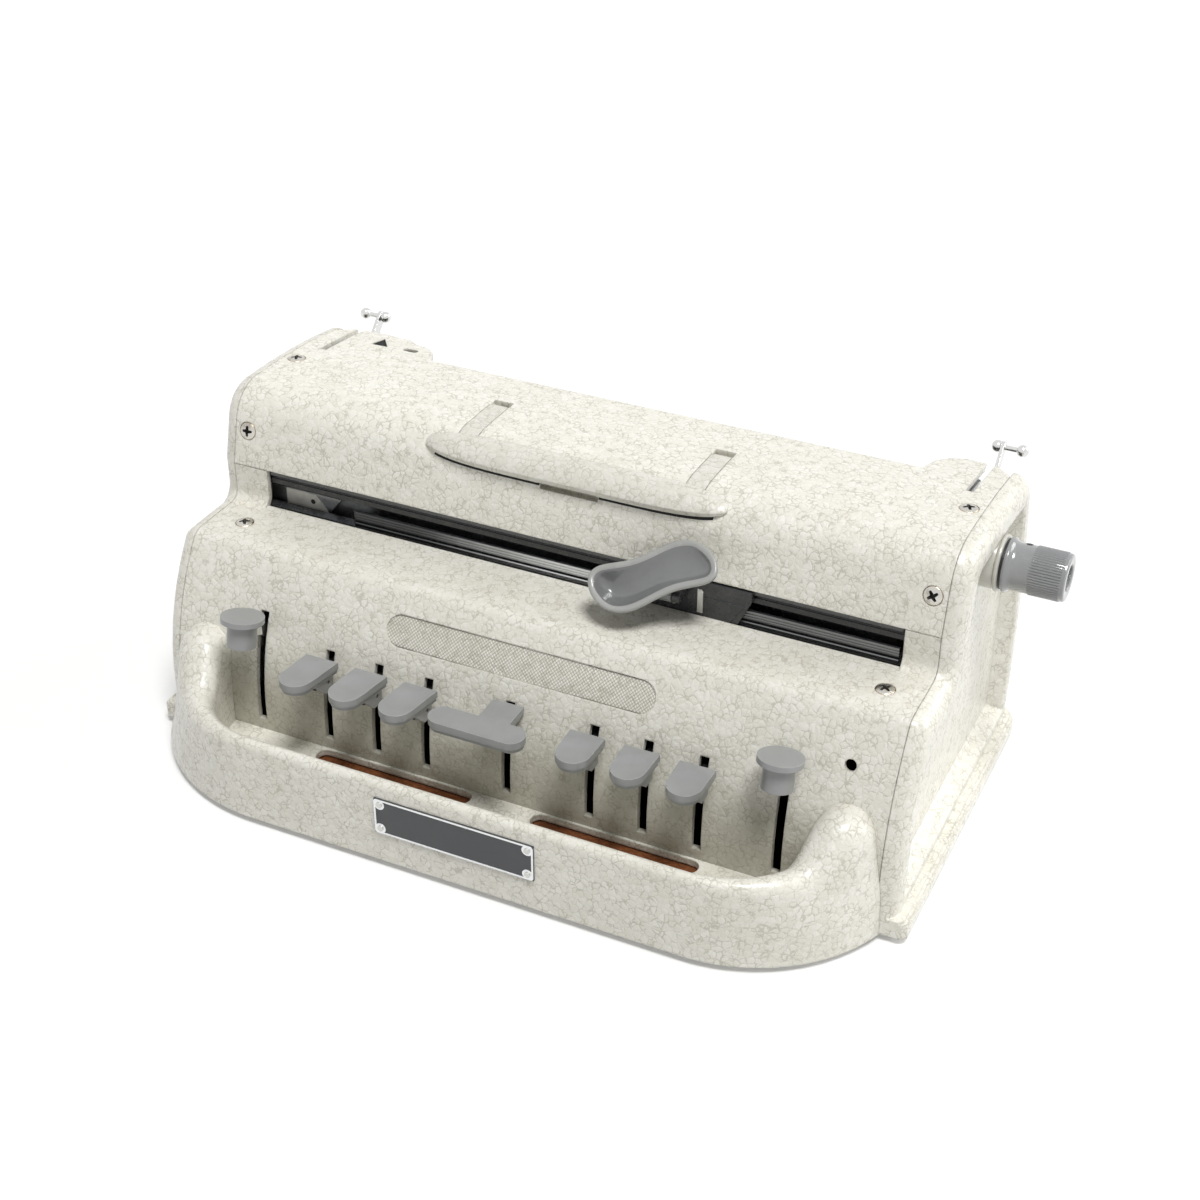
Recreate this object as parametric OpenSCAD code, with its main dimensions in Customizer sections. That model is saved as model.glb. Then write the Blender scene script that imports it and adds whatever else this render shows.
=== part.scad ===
// Manual braille writer: nine-key embossing machine with a carriage slot, a paper roller,
// a fold-up carrying handle and paper release levers. Millimetres, +Z up.
// Inside the modules x = 0 is the machine's own middle plane, y grows towards the back and
// z = 0 is the underside of the base casting; place() then moves everything to the part's
// origin, the middle of its footprint at floor level.

/* [Casing] */
// Distance between the two seams that join the covers to the side panels
body_w = 320; // [314:1:330]
// Highest line of the top cover above the base
top_z = 136.4; // [134:0.5:140]
// Front face of the front panel at its foot
panel_y = -36; // [-37:0.5:-35]
// Radius of the front panel where it leans back
lean_r = 110; // [106:1:116]
// Height at which the front panel starts to lean back
lean_z = 20; // [18:0.5:22]
// Height of the flat ledge in front of the carriage slot
ledge_z = 87; // [86.5:0.1:88]
// Rounding between the front panel and the ledge
shoulder_r = 7; // [5:0.5:9]
// Hollow rounding where the ledge turns up at both cheeks
cheek_r = 5; // [4:0.5:6]
// Face of the covers above the carriage slot
slot_y = 18.8; // [18.2:0.1:19.4]
// Upper edge of the carriage slot
slot_top_z = 104; // [103.6:0.1:104.4]
// Left end of the carriage slot
slot_left = 143.4; // [141:0.2:144]
// Right end of the carriage slot
slot_right = 145.6; // [143:0.2:146]
// Backward lean of the cover's face, degrees
cover_lean = 15; // [13:0.5:17]
// Radius of the cover's front edge
crown_r = 17.2; // [16:0.2:18]
// Centre line of that front edge
crown_y = 40.5; // [40:0.1:41]
// Radius of the nearly flat top
top_r = 406; // [380:2:450]
// Back edge of the top cover between its end tabs
cover_rear_y = 92; // [88:0.5:94]
// Furthest point of the back of the casing
rear_y = 126; // [125:0.5:128]
// Radius of the slightly bulging back
rear_r = 276; // [260:2:300]
// Height of the furthest point of the back
rear_z = 48; // [46:0.5:50]
// Rounding between the top and the back
tail_r = 12; // [10:0.5:14]
// Wall of the pressed covers
wall = 2.6; // [2.2:0.1:3]

/* [Side panels] */
// How far each side panel's rim stands out from the seam
rim_out = 7.5; // [6.5:0.1:8.5]
// Width of the rounding on the rim
rim_round = 8; // [6:0.5:9]
// Flat crest of the rim
rim_crest = 3.5; // [2.5:0.1:4.5]
// Width of the slope from the rim down to the dished face
rim_slope = 4; // [3:0.1:4.5]
// Thickness of the dished face
dish_t = 3; // [2.6:0.1:3.4]
// Height of the foot flange along each side panel
skirt_h = 8; // [6:0.5:9]
// How far that flange stands out from the seam
skirt_out = 12.3; // [11:0.1:13]

/* [Base] */
// Front face of the key guard
guard_y = -80; // [-84:0.5:-78]
// Largest half width of the guard's outline
guard_half_w = 165.9; // [164:0.1:168]
// Corner radius of the guard in plan
guard_r = 68.8; // [66:0.2:71]
// Thickness of the guard's wall at the front
guard_t = 6; // [5:0.5:7]
// Height of the guard's rim at the front
guard_h = 39; // [36:0.5:42]
// Height of the horns where the guard meets the front panel
horn_h = 54.5; // [52:0.5:58]
// How far the guard's left corner spreads at its foot
guard_flare = 4.4; // [0:0.2:5]
// Half width of the key well inside the guard
well_half_w = 133; // [131:0.5:135]
// Corner radius of the key well
well_r = 38; // [34:0.5:42]
// Top of the key well's floor
floor_z = 10; // [9.5:0.1:10.5]
// Thickness of the key well's floor
floor_t = 3; // [2.5:0.1:3.5]
// Thickness of the hardboard that closes the underside
board_t = 3; // [2.5:0.1:3.2]
// Height of the rubber feet
foot_h = 3; // [2:0.5:5]
// Radius of the rubber feet
foot_r = 9; // [7:0.5:11]

/* [Keys] */
// Distance of the first dot key from the middle
key_x0 = 37.6; // [36:0.2:40]
// Spacing of the dot keys
key_pitch = 23.5; // [22.5:0.1:24.5]
// Distance of the round keys from the middle
round_x = 118.3; // [116:0.1:120]
// Height of the dot keys and the space bar
key_top_z = 57; // [56:0.2:58]
// Height of the left round key
round_top_z = 72.2; // [71.5:0.1:73]
// How much higher the right round key stands
round_rise = 1; // [0:0.1:2]
// Length of a dot key, front to back
key_len = 20.4; // [18:0.2:21]
// Width of a dot key at its back
key_w = 15.4; // [14:0.2:17]
// Thickness of a key's top slab
key_slab = 3.3; // [2.8:0.1:3.8]
// Front to back depth of the space bar's wide part
space_d = 12; // [11:0.2:13]
// Reach of the space bar to the left
space_left = 26; // [24:0.2:27]
// Reach of the space bar to the right
space_right = 16.5; // [15:0.2:20]
// Diameter of a round key's disc
disc_d = 18.4; // [18:0.2:20]
// Diameter of a round key's stem
stub_d = 12.6; // [11.6:0.2:13]
// How far a key turns down, degrees
key_travel = 9; // [7:0.5:9.5]
// Thickness of the key levers
lever_t = 2.5; // [2:0.1:2.8]
// Width of the slots in the front panel
slot_w = 4; // [3.6:0.1:4.6]
// Upper end of the dot keys' slots
dot_slot_z = 56.5; // [56:0.1:58]
// Upper end of the round keys' slots
round_slot_z = 65; // [64:0.1:66]
// Lower end of all key slots
slot_foot_z = 15; // [13:0.5:16]
// Diameter of the shaft that the key levers turn on
lever_shaft_d = 5; // [4:0.2:6]

/* [Paper roller] */
// Height of the roller's axis
roller_z = 112.5; // [112:0.1:113]
// Distance of the roller's axis behind the middle
roller_y = 67.8; // [67:0.1:68.5]
// Diameter of the roller
roller_d = 33; // [30:0.5:34]
// Diameter of the roller's shaft
shaft_d = 8; // [6:0.2:9]
// Diameter of the feed knob
knob_d = 22.4; // [20:0.2:24]
// Outer end of the feed knob
knob_end_x = 195.5; // [190:0.5:200]
// Length of the knob's grip
knob_len = 22.5; // [20:0.5:24]
// Diameter of the bearing collar on the side panel
collar_d = 18; // [16:0.2:20]

/* [Carriage] */
// Left side of the carriage at rest
car_x0 = 38; // [36:0.5:40]
// Width of the carriage
car_w = 40; // [36:0.5:41]
// Diameter of the rod that the carriage slides on
rod_d = 6; // [5:0.2:6.4]
// Length of the spoon-shaped carriage lever
spoon_len = 52.7; // [48:0.1:54]
// Half width of that lever
spoon_half_w = 11; // [9.5:0.1:11.4]

/* [Handle and levers] */
// Half length of the handle bar, tip to tip
handle_half = 67.6; // [64:0.2:70]
// Middle of each handle arm
arm_x = 51.1; // [49:0.1:53]
// Width of each handle arm
arm_w = 8.4; // [7:0.1:9]
// How far the handle bar stands out from the cover
bar_out = 3.8; // [3:0.1:4.5]
// Middle plane of the paper release levers
release_x = 149.7; // [149.6:0.1:150]
// Thickness of the release levers
release_t = 1.5; // [1.2:0.1:1.6]
// Length of a release lever from pivot to balls
release_len = 41.7; // [40:0.1:43]
// Diameter of the release levers' balls
ball_d = 5.2; // [4.4:0.1:5.6]

/* [Fits] */
// Radial clearance of a shaft in its bore
run = 0.05; // [0.03:0.01:0.09]
// Gap between parts that don't touch
gap = 0.3; // [0.2:0.05:0.4]
// Depth of the screw heads' seats
seat = 1.2; // [1:0.1:1.4]

/* [Hidden] */
$fn = 48;

paint = [0.73, 0.73, 0.68];
grey_key = [0.60, 0.61, 0.62];
grey_knob = [0.50, 0.51, 0.52];
black = [0.06, 0.06, 0.06];
steel = [0.72, 0.73, 0.74];
hardboard = [0.42, 0.24, 0.13];

half_w = body_w / 2;
cover_half = half_w - 0.2;
cut = 0.5;
drop = [0, 0, -1];

// ---------------------------------------------------------------- outline of the casing
function arc(c, r, a0, a1, n) =
    [for (i = [0:n]) c + r * [cos(a0 + (a1 - a0) * i / n), sin(a0 + (a1 - a0) * i / n)]];
function tail(v) = [for (i = [1:len(v) - 1]) v[i]];
function rev(v) = [for (i = [len(v) - 1:-1:0]) v[i]];
function angle(v) = atan2(v[1], v[0]);
function smooth(t) = let (u = min(max(t, 0), 1)) u * u * (3 - 2 * u);

// Centres of the arcs that make the side outline, as [y, z]
lean_c = [panel_y + lean_r, lean_z];
cheek_c = [slot_y - cheek_r, ledge_z + cheek_r];
crown_c = [crown_y, top_z - crown_r];
top_c = [crown_y, top_z - top_r];
rear_c = [rear_y - rear_r, rear_z];
face_a = 180 - cover_lean;
face_n = [cos(face_a), sin(face_a)];
face_t = [-sin(face_a), cos(face_a)];

// Every curve below is the outline moved inwards by d
function shoulder_rad(d) = max(shoulder_r - d, 0.6);
function shoulder_c(d) =
    let (q = lean_r - d - shoulder_rad(d), dz = ledge_z - d - shoulder_rad(d) - lean_z)
    [lean_c[0] - sqrt(q * q - dz * dz), lean_z + dz];
function shoulder_a(d) = angle(shoulder_c(d) - lean_c);
function front_curve(d, a0 = 180) =
    concat(arc(lean_c, lean_r - d, a0, shoulder_a(d), 10),
        tail(arc(shoulder_c(d), shoulder_rad(d), shoulder_a(d), 90, 5)));
function cheek_curve(d) = arc(cheek_c, cheek_r + d, -90, 0, 5);
function face_corner(d) =
    [slot_y + d, crown_c[1] + (crown_r - d - (slot_y + d - crown_y) * face_n[0]) / face_n[1]];
function face_y(z) = crown_y + (crown_r - (z - crown_c[1]) * face_n[1]) / face_n[0];
function crown_curve(d) = arc(crown_c, max(crown_r - d, 1), face_a, 90, 8);
function tail_rad(d) = max(tail_r - d, 0.8);
function tail_c(d) =
    let (r1 = rear_r - d - tail_rad(d), r2 = top_r - d - tail_rad(d),
        v = top_c - rear_c, dist = norm(v), u = v / dist,
        a = (r1 * r1 - r2 * r2 + dist * dist) / (2 * dist), h = sqrt(r1 * r1 - a * a))
    rear_c + a * u + h * [-u[1], u[0]];
function top_z_at(y, d = 0) = top_c[1] + sqrt(pow(top_r - d, 2) - pow(y - top_c[0], 2));
function top_curve_to(d, y) = arc(top_c, top_r - d, 90, acos((y - top_c[0]) / (top_r - d)), 6);
function rear_curve(d, z0, z1) =
    arc(rear_c, rear_r - d, asin((z1 - rear_z) / (rear_r - d)),
        asin((z0 - rear_z) / (rear_r - d)), 8);
function rear_y_at(z, d = 0) = rear_c[0] + sqrt(pow(rear_r - d, 2) - pow(z - rear_z, 2));
function side_ring(d) =
    let (tc = tail_c(d), a_top = angle(tc - top_c), a_rear = angle(tc - rear_c))
    concat([[panel_y + d, d]], front_curve(d), cheek_curve(d), [face_corner(d)],
        crown_curve(d), tail(arc(top_c, top_r - d, 90, a_top, 5)),
        tail(arc(tc, tail_rad(d), a_top, a_rear, 5)),
        tail(arc(rear_c, rear_r - d, a_rear, asin((d - rear_z) / (rear_r - d)), 8)));

// ---------------------------------------------------------------- helpers for solids
module place() {
    x_mid = (knob_end_x - half_w - skirt_out) / 2;
    y_mid = (release_tip[0] + ball_d / 2 + guard_y - plate_t - rivet_h) / 2;
    translate([-x_mid, -y_mid, foot_h]) children();
}

// Draws a [y, z] outline and stretches it along x
module along_x(x0, x1) {
    translate([x0, 0, 0]) rotate([90, 0, 90]) linear_extrude(x1 - x0) children();
}

module rod_x(x0, x1, y, z, r) {
    translate([x0, y, z]) rotate([0, 90, 0]) cylinder(r = r, h = x1 - x0);
}

module box(x0, x1, y0, y1, z0, z1) {
    translate([x0, y0, z0]) cube([x1 - x0, y1 - y0, z1 - z0]);
}

// Outline of a strip along the points p with round ends of radius r
function side_of(a, b) = [a[1] - b[1], b[0] - a[0]] / norm(b - a);
function corner_of(p, i) =
    let (m = side_of(p[i - 1], p[i]), n = side_of(p[i], p[i + 1])) (m + n) / (1 + m * n);
function ribbon(p, r) =
    let (last = len(p) - 1, a = angle(side_of(p[0], p[1])),
        b = angle(side_of(p[last - 1], p[last])),
        bends = [for (i = [0:last]) if (i > 0 && i < last) i])
    concat([for (i = bends) p[i] - r * corner_of(p, i)], arc(p[last], r, b - 180, b, 10),
        [for (i = rev(bends)) p[i] + r * corner_of(p, i)], arc(p[0], r, a, a + 180, 10));

// A skin through a row of outlines with equally many points, closed by flat ends
module loft(rows) {
    n = len(rows[0]);
    m = len(rows);
    points = [for (row = rows) each row];
    sides = [for (j = [0:m - 2], i = [0:n - 1])
        let (a = j * n + i, b = j * n + (i + 1) % n) each [[a, b, b + n], [a, b + n, a + n]]];
    polyhedron(points, concat(sides, [[for (i = [n - 1:-1:0]) i]],
        [[for (i = [0:n - 1]) (m - 1) * n + i]]), convexity = 6);
}

// ---------------------------------------------------------------- base
guard_c = [guard_half_w - guard_r, guard_y + guard_r];
well_c = [well_half_w - well_r, panel_y];
guard_end_a = acos((guard_c[1] - panel_y) / guard_r);
ring_half = 154.5;
ring_rear_y = rear_y_at(board_t, wall) - gap;
ring_wall = 9.5;
board_half = 150;
board_rear_y = 116;
board_front_r = well_r - 3;

function guard_outer(a) =
    let (b = a / 90 * guard_end_a) [guard_c[0] + guard_r * sin(b), guard_c[1] - guard_r * cos(b)];
function guard_inner(a) =
    [well_c[0] + well_r * sin(a),
        well_c[1] - (well_c[1] - guard_y - guard_t) * cos(a)];
// The rim stays level along the front and most of each corner, then climbs to the horn
function guard_height(a) = guard_h + (horn_h - guard_h) * smooth((a - 58) / 28);
function guard_section(a, side) =
    let (t = norm(guard_inner(a) - guard_outer(a)), h = guard_height(a),
        k = smooth((a - 10) / 80), back = 4.6 * k, rv = min(12, (t - back) / 2),
        foot = k * (side < 0 ? guard_flare : 0.1 * guard_flare),
        top = arc([(back + t) / 2, h - rv], 1, 180, 0, 8))
    concat([[-foot, 0], [-foot, 4], [-0.35 * foot, 12], [0.2 * k, 20]],
        [for (q = top) let (e = q - [(back + t) / 2, h - rv])
            [(back + t) / 2 + e[0] * (t - back) / 2, h - rv + e[1] * rv]],
        [[t, 0]]);
// A section of the guard wall set up on the plan, side = 1 right or -1 left
function guard_row(a, side) =
    let (o = guard_outer(a), i = guard_inner(a), u = (i - o) / norm(i - o))
    [for (q = guard_section(a, side)) [side * (o[0] + u[0] * q[0]), o[1] + u[1] * q[0], q[1]]];
guard_steps = 18;
horn_back = 16;
well_slot_x = [14, 88];
well_slot_y = [-45.4, -37.2];
well_slot_r = 3.9;

function shifted(row, dy) = [for (q = row) [q[0], q[1] + dy, q[2]]];

module guard_wall() {
    step = 90 / guard_steps;
    loft(concat([shifted(guard_row(90, -1), horn_back)],
        [for (i = [0:guard_steps]) guard_row(90 - i * step, -1)],
        [for (i = [0:guard_steps]) guard_row(i * step, 1)],
        [shifted(guard_row(90, 1), horn_back)]));
}

// Plan of the key well with corner radius r, carried on straight back by 2 mm
function well_plan(r) = concat([[-well_c[0] - r, panel_y + 2]],
    arc([-well_c[0], panel_y], r, 180, 270, 8), arc([well_c[0], panel_y], r, 270, 360, 8),
    [[well_c[0] + r, panel_y + 2]]);

module base_outline() {
    union() {
        polygon(well_plan(well_r + 1.5));
        translate([-ring_half, panel_y - cut])
            square([2 * ring_half, ring_rear_y - panel_y + cut]);
    }
}

module board_outline(grow) {
    union() {
        polygon(well_plan(board_front_r + grow));
        translate([-board_half - grow, panel_y - 1])
            square([2 * (board_half + grow), board_rear_y - panel_y + 1 + grow]);
    }
}

// Slot in the key well's floor, with round corners, on the right or on the left
module well_slot(side) {
    c = [well_slot_x[0] + well_slot_r, well_slot_x[1] - well_slot_r,
        well_slot_y[0] + well_slot_r, well_slot_y[1] - well_slot_r];
    mirror([side > 0 ? 0 : 1, 0, 0]) translate([0, 0, board_t])
        linear_extrude(floor_z + cut - board_t) polygon(concat(
            arc([c[0], c[2]], well_slot_r, 180, 270, 5), arc([c[1], c[2]], well_slot_r, 270, 360, 5),
            arc([c[1], c[3]], well_slot_r, 0, 90, 5), arc([c[0], c[3]], well_slot_r, 90, 180, 5)));
}

module base_tray() {
    color(paint) place() difference() {
        union() {
            guard_wall();
            linear_extrude(floor_z) base_outline();
        }
        translate([0, 0, -cut]) linear_extrude(board_t + cut) board_outline(gap);
        // hollow under the floor of the key well and open middle of the base frame
        box(3 - well_half_w + well_r / 2, well_half_w - well_r / 2 - 3,
            guard_y + guard_t + 6, panel_y + 2, board_t - cut, floor_z - floor_t);
        box(ring_wall - ring_half, ring_half - ring_wall, panel_y + 8, ring_rear_y - 8,
            board_t - cut, floor_z + cut);
        for (side = [-1, 1]) well_slot(side);
        // room for the leaning front panel and for the side panels' rims
        along_x(-half_w - 9, half_w + 9) polygon(concat(
            [[panel_y + lean_r, floor_z], [panel_y - 0.05, floor_z]],
            arc(lean_c, lean_r + 0.05, 180, 140, 10)));
        for (side = [-1, 1])
            box(side > 0 ? ring_half : -half_w - 9, side > 0 ? half_w + 9 : -ring_half,
                panel_y - 0.05, panel_y + horn_back + 1, -1, floor_z + 0.1);
    }
}

module bottom_board() {
    color(hardboard) place() linear_extrude(board_t) board_outline(0);
}

foot_at = [[118, -52], [134, 98]];
module rubber_feet() {
    color(black) place() for (side = [-1, 1], q = foot_at)
        translate([side * q[0], q[1], -foot_h]) cylinder(r = foot_r, h = foot_h);
}

// ---------------------------------------------------------------- casing
recess_z = [65.3, 77.4];
recess_half = 60.5;
recess_depth = 0.8;
recess_a = asin((recess_z[0] + recess_z[1]) / 2 / lean_r - lean_z / lean_r);
vent = [141.6, 67.8, 4.8];
ledge_screw = [144.8, 1.4];
top_screw = [153.9, 64];
face_screw_z = 119.1;
screw_head_d = 8;
screw_d = 3;
key_xs = [-key_x0, -key_x0 - key_pitch, -key_x0 - 2 * key_pitch,
    key_x0, key_x0 + key_pitch, key_x0 + 2 * key_pitch];

function panel_y_at(z, d = 0) = lean_c[0] - sqrt(pow(lean_r - d, 2) - pow(z - lean_z, 2));

// Puts a tool on the leaning front panel at x and height z, its +Z pointing out of the face
module on_panel(x, z) {
    a = asin((z - lean_z) / lean_r);
    translate([x, panel_y_at(z), z]) rotate([90 - a, 0, 0]) children();
}

module key_slot(x, z) {
    box(x - slot_w / 2, x + slot_w / 2, panel_y - 2, panel_y + 16, slot_foot_z, z);
}

module front_panel() {
    skin = concat([[panel_y, floor_z]], front_curve(0), [[cheek_c[0], ledge_z]],
        [[slot_y - 0.8, ledge_z], [slot_y - 0.8, ledge_z - wall]],
        rev(front_curve(wall)), [[panel_y + wall, floor_z]]);
    cheek = concat(cheek_curve(0), [[slot_y, slot_top_z - gap], [slot_y + wall, slot_top_z - gap]],
        rev(cheek_curve(wall)));
    racetrack_r = (recess_z[1] - recess_z[0]) / 2 / cos(recess_a);
    color(paint) place() difference() {
        union() {
            along_x(-cover_half, cover_half) polygon(skin);
            along_x(-cover_half, -slot_left) polygon(cheek);
            along_x(slot_right, cover_half) polygon(cheek);
        }
        for (x = key_xs) key_slot(x, dot_slot_z);
        key_slot(0, dot_slot_z);
        for (side = [-1, 1]) {
            key_slot(side * round_x, round_slot_z);
            translate([side * ledge_screw[0], ledge_screw[1], ledge_z - seat])
                cylinder(d = screw_head_d + 2 * run, h = seat + cut);
            translate([side * ledge_screw[0], ledge_screw[1], ledge_z - wall - cut])
                cylinder(d = screw_d + gap, h = wall + 2 * cut);
        }
        on_panel(vent[0], vent[1]) cylinder(d = vent[2], h = 12, center = true);
        intersection() {
            on_panel(0, (recess_z[0] + recess_z[1]) / 2) linear_extrude(12, center = true) {
                square([2 * (recess_half - racetrack_r), 2 * racetrack_r], center = true);
                for (side = [-1, 1])
                    translate([side * (recess_half - racetrack_r), 0]) circle(racetrack_r);
            }
            along_x(-recess_half - 1, recess_half + 1) difference() {
                translate(lean_c) circle(lean_r + 4, $fn = 180);
                translate(lean_c) circle(lean_r - recess_depth, $fn = 180);
            }
        }
    }
}

// Handle geometry, shared by the cover's channels and the handle itself
arm_t = 1.9;
channel_t = 2.2;
pad_t = 5.4;
hinge_y = 63;
hinge_z = top_z_at(hinge_y) - 3.1;
hinge_pin_r = 1.2;
knuckle_r = 2.2;
arm_end_y = 61.2;
bar_a = [109, 155];
arm_front_a = 134;
notch_half = 13;

// Strip of the crown and the top between two depths, from angle a0 back to y
function strip(d0, d1, a0, y) =
    concat(arc(crown_c, crown_r - d0, a0, 90, 6), tail(top_curve_to(d0, y)),
        rev(tail(top_curve_to(d1, y))), rev(arc(crown_c, crown_r - d1, a0, 90, 6)));

left_tab = [[-cover_half, 90], [-cover_half, 103], [-152, 111.6], [-137, 113], [-123, 111.6],
    [-117.4, 107.4], [-111, 106.4], [-105.6, 101], [-101, 90]];
right_tab = [[cover_half, 90], [cover_half, 103], [152, 111.6], [139, 112.4], [133, 109],
    [128.6, 103], [126, 90]];
tab_hole = [[-135.7, 96.6], [-134.2, 106.9], [-127.1, 97.2]];
tab_y = 114;
release_slot = [release_x - 1.7, release_x + 1.7, 79];

module cover_skin(y) {
    polygon(concat([[slot_y, slot_top_z], face_corner(0)], crown_curve(0),
        tail(top_curve_to(0, y)), rev(tail(top_curve_to(wall, y))), rev(crown_curve(wall)),
        [face_corner(wall), [slot_y + wall, slot_top_z]]));
}

module top_cover() {
    color(paint) place() difference() {
        union() {
            along_x(-cover_half, cover_half) cover_skin(cover_rear_y);
            for (outline = [left_tab, right_tab]) intersection() {
                along_x(-cover_half, cover_half) cover_skin(tab_y);
                translate([0, 0, slot_top_z]) linear_extrude(top_z) polygon(outline);
            }
            for (side = [-1, 1])
                along_x(side * arm_x - arm_w / 2 - 4, side * arm_x + arm_w / 2 + 4)
                    polygon(strip(wall - cut, pad_t, arm_front_a + 8, hinge_y + 7));
            along_x(-notch_half - 3, notch_half + 3)
                polygon(concat(arc(crown_c, crown_r - wall + cut, face_a + 8, 132, 6),
                    rev(arc(crown_c, crown_r - pad_t - 0.8, face_a + 8, 132, 6))));
        }
        for (side = [-1, 1]) {
            // channels of the handle arms, their hinge holes and pin bores
            along_x(side * arm_x - arm_w / 2 - 0.35, side * arm_x + arm_w / 2 + 0.35)
                polygon(strip(-cut, channel_t, arm_front_a + 2, arm_end_y));
            box(side * arm_x - arm_w / 2 - 0.35, side * arm_x + arm_w / 2 + 0.35,
                hinge_y - 2.8, hinge_y + 3.6, hinge_z - 6, top_z);
            rod_x(side * arm_x - arm_w / 2 - 2.6, side * arm_x + arm_w / 2 + 2.6,
                hinge_y, hinge_z, hinge_pin_r + run);
            // seats and holes of the cover's screws
            translate([side * top_screw[0], top_screw[1], top_z_at(top_screw[1]) - seat])
                cylinder(d = screw_head_d + 2 * run, h = 4);
            translate([side * top_screw[0], top_screw[1], top_z_at(top_screw[1]) - 6])
                cylinder(d = screw_d + gap, h = 8);
            on_face(side * top_screw[0]) {
                translate([0, 0, -seat]) cylinder(d = screw_head_d + 2 * run, h = 4);
                translate([0, 0, -6]) cylinder(d = screw_d + gap, h = 8);
            }
            // slots that the release levers swing forward into
            box(side > 0 ? release_slot[0] : -release_slot[1],
                side > 0 ? release_slot[1] : -release_slot[0],
                release_slot[2], tab_y + 1, slot_top_z + 10, top_z);
        }
        // hollow behind the finger notch of the handle
        along_x(-notch_half, notch_half)
            polygon(concat(arc(crown_c, crown_r + 1, face_a - 2, 140, 6),
                rev(arc(crown_c, crown_r - 4.2, face_a - 2, 140, 6))));
        translate([0, 0, slot_top_z]) linear_extrude(top_z) polygon(tab_hole);
        translate([-116, 98.8, slot_top_z]) linear_extrude(top_z) {
            square([4, 3.4], center = true);
            for (side = [-1, 1]) translate([side * 2, 0]) circle(1.7);
        }
    }
}

// Puts a tool on the cover's leaning face at the front screws, +Z pointing out of the face
module on_face(x) {
    translate([x, face_y(face_screw_z), face_screw_z]) rotate([90 - cover_lean, 0, 0]) children();
}

module screw(length) {
    difference() {
        union() {
            translate([0, 0, -seat]) cylinder(d = screw_head_d, h = seat);
            translate([0, 0, -length]) cylinder(d = screw_d, h = length - seat + 0.1);
        }
        for (turn = [0, 90]) rotate(turn + 20)
            translate([-2.2, -0.45, -0.8]) cube([4.4, 0.9, 2]);
    }
}

module casing_screws() {
    color(steel) place() for (side = [-1, 1]) {
        translate([side * top_screw[0], top_screw[1], top_z_at(top_screw[1])]) screw(9);
        on_face(side * top_screw[0]) screw(9);
        translate([side * ledge_screw[0], ledge_screw[1], ledge_z]) screw(8);
    }
}

// Depths and offsets of the rounded rim, from the inner plug out over the crest to the dish
rim_rows = concat([[wall + gap, half_w - dish_t + 0.5], [wall + gap, half_w], [0, half_w]],
    [for (a = [18:18:90]) [rim_round * (1 - cos(a)), half_w + rim_out * sin(a)]],
    [[rim_round + rim_crest, half_w + rim_out],
        [rim_round + rim_crest + 1.2, half_w + rim_out - 0.8],
        [rim_round + rim_crest + rim_slope - 0.6, half_w + 1.3],
        [rim_round + rim_crest + rim_slope, half_w + 0.5]]);
dish_x = half_w + 0.5;
plug_x = half_w - dish_t + 0.5;
skirt_y = [panel_y + gap + 0.2, rear_y - 4.4];
collar_flange_r = collar_d / 2 + 1.6;
collar_neck_r = shaft_d / 2 + 1.4;

module side_shell() {
    loft([for (row = rim_rows) [for (q = side_ring(row[0])) [row[1], q[0], q[1]]]]);
}

// Foot flange in plan, with its back corner rounded
module skirt_outline(inset) {
    r = 9;
    out = half_w + skirt_out - inset;
    polygon(concat([[half_w, skirt_y[0]], [out - 2, skirt_y[0]], [out, skirt_y[0] + 2]],
        arc([out - r, skirt_y[1] - r], r, 0, 90, 8), [[half_w, skirt_y[1]]]));
}

module side_panel() {
    lug = [149.6, plug_x + 0.2];
    difference() {
        union() {
            side_shell();
            linear_extrude(skirt_h - 2.5) skirt_outline(0);
            translate([0, 0, skirt_h - 2.6]) linear_extrude(1.4) skirt_outline(0.7);
            translate([0, 0, skirt_h - 1.3]) linear_extrude(1.3) skirt_outline(1.8);
            box(lug[0], lug[1], top_screw[1] - 4, top_screw[1] + 4,
                top_z_at(top_screw[1]) - 11, top_z_at(top_screw[1] + 4, wall) - gap);
            translate([0, 0, 0]) along_x(lug[0], lug[1])
                translate([face_y(face_screw_z), face_screw_z]) rotate(face_a)
                translate([-11, -4]) square([11 - wall - gap, 8]);
        }
        translate([top_screw[0], top_screw[1], top_z_at(top_screw[1]) - 12])
            cylinder(d = screw_d + 2 * run, h = 14);
        on_face(top_screw[0]) translate([0, 0, -12]) cylinder(d = screw_d + 2 * run, h = 14);
        children();
    }
}

// The right panel has the collar's bore and a spot face for its flange
module right_side_panel() {
    color(paint) place() side_panel() {
        rod_x(plug_x - 1, dish_x + 1, roller_y, roller_z, collar_neck_r + 2 * run);
        rod_x(dish_x, half_w + rim_out + 1, roller_y, roller_z, collar_flange_r + gap);
    }
}

module left_side_panel() {
    color(paint) place() mirror([1, 0, 0]) side_panel();
}

rear_panel_z = [board_t + 0.2, 96];
rest_t = 1.8;
rest_hinge = [rear_y + rest_t / 2 + gap, 92];
rest_len = 44;
rest_ear_x = [96, 101];
rest_pin_r = 1.5;
rest_ear_r = 2.4;

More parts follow.
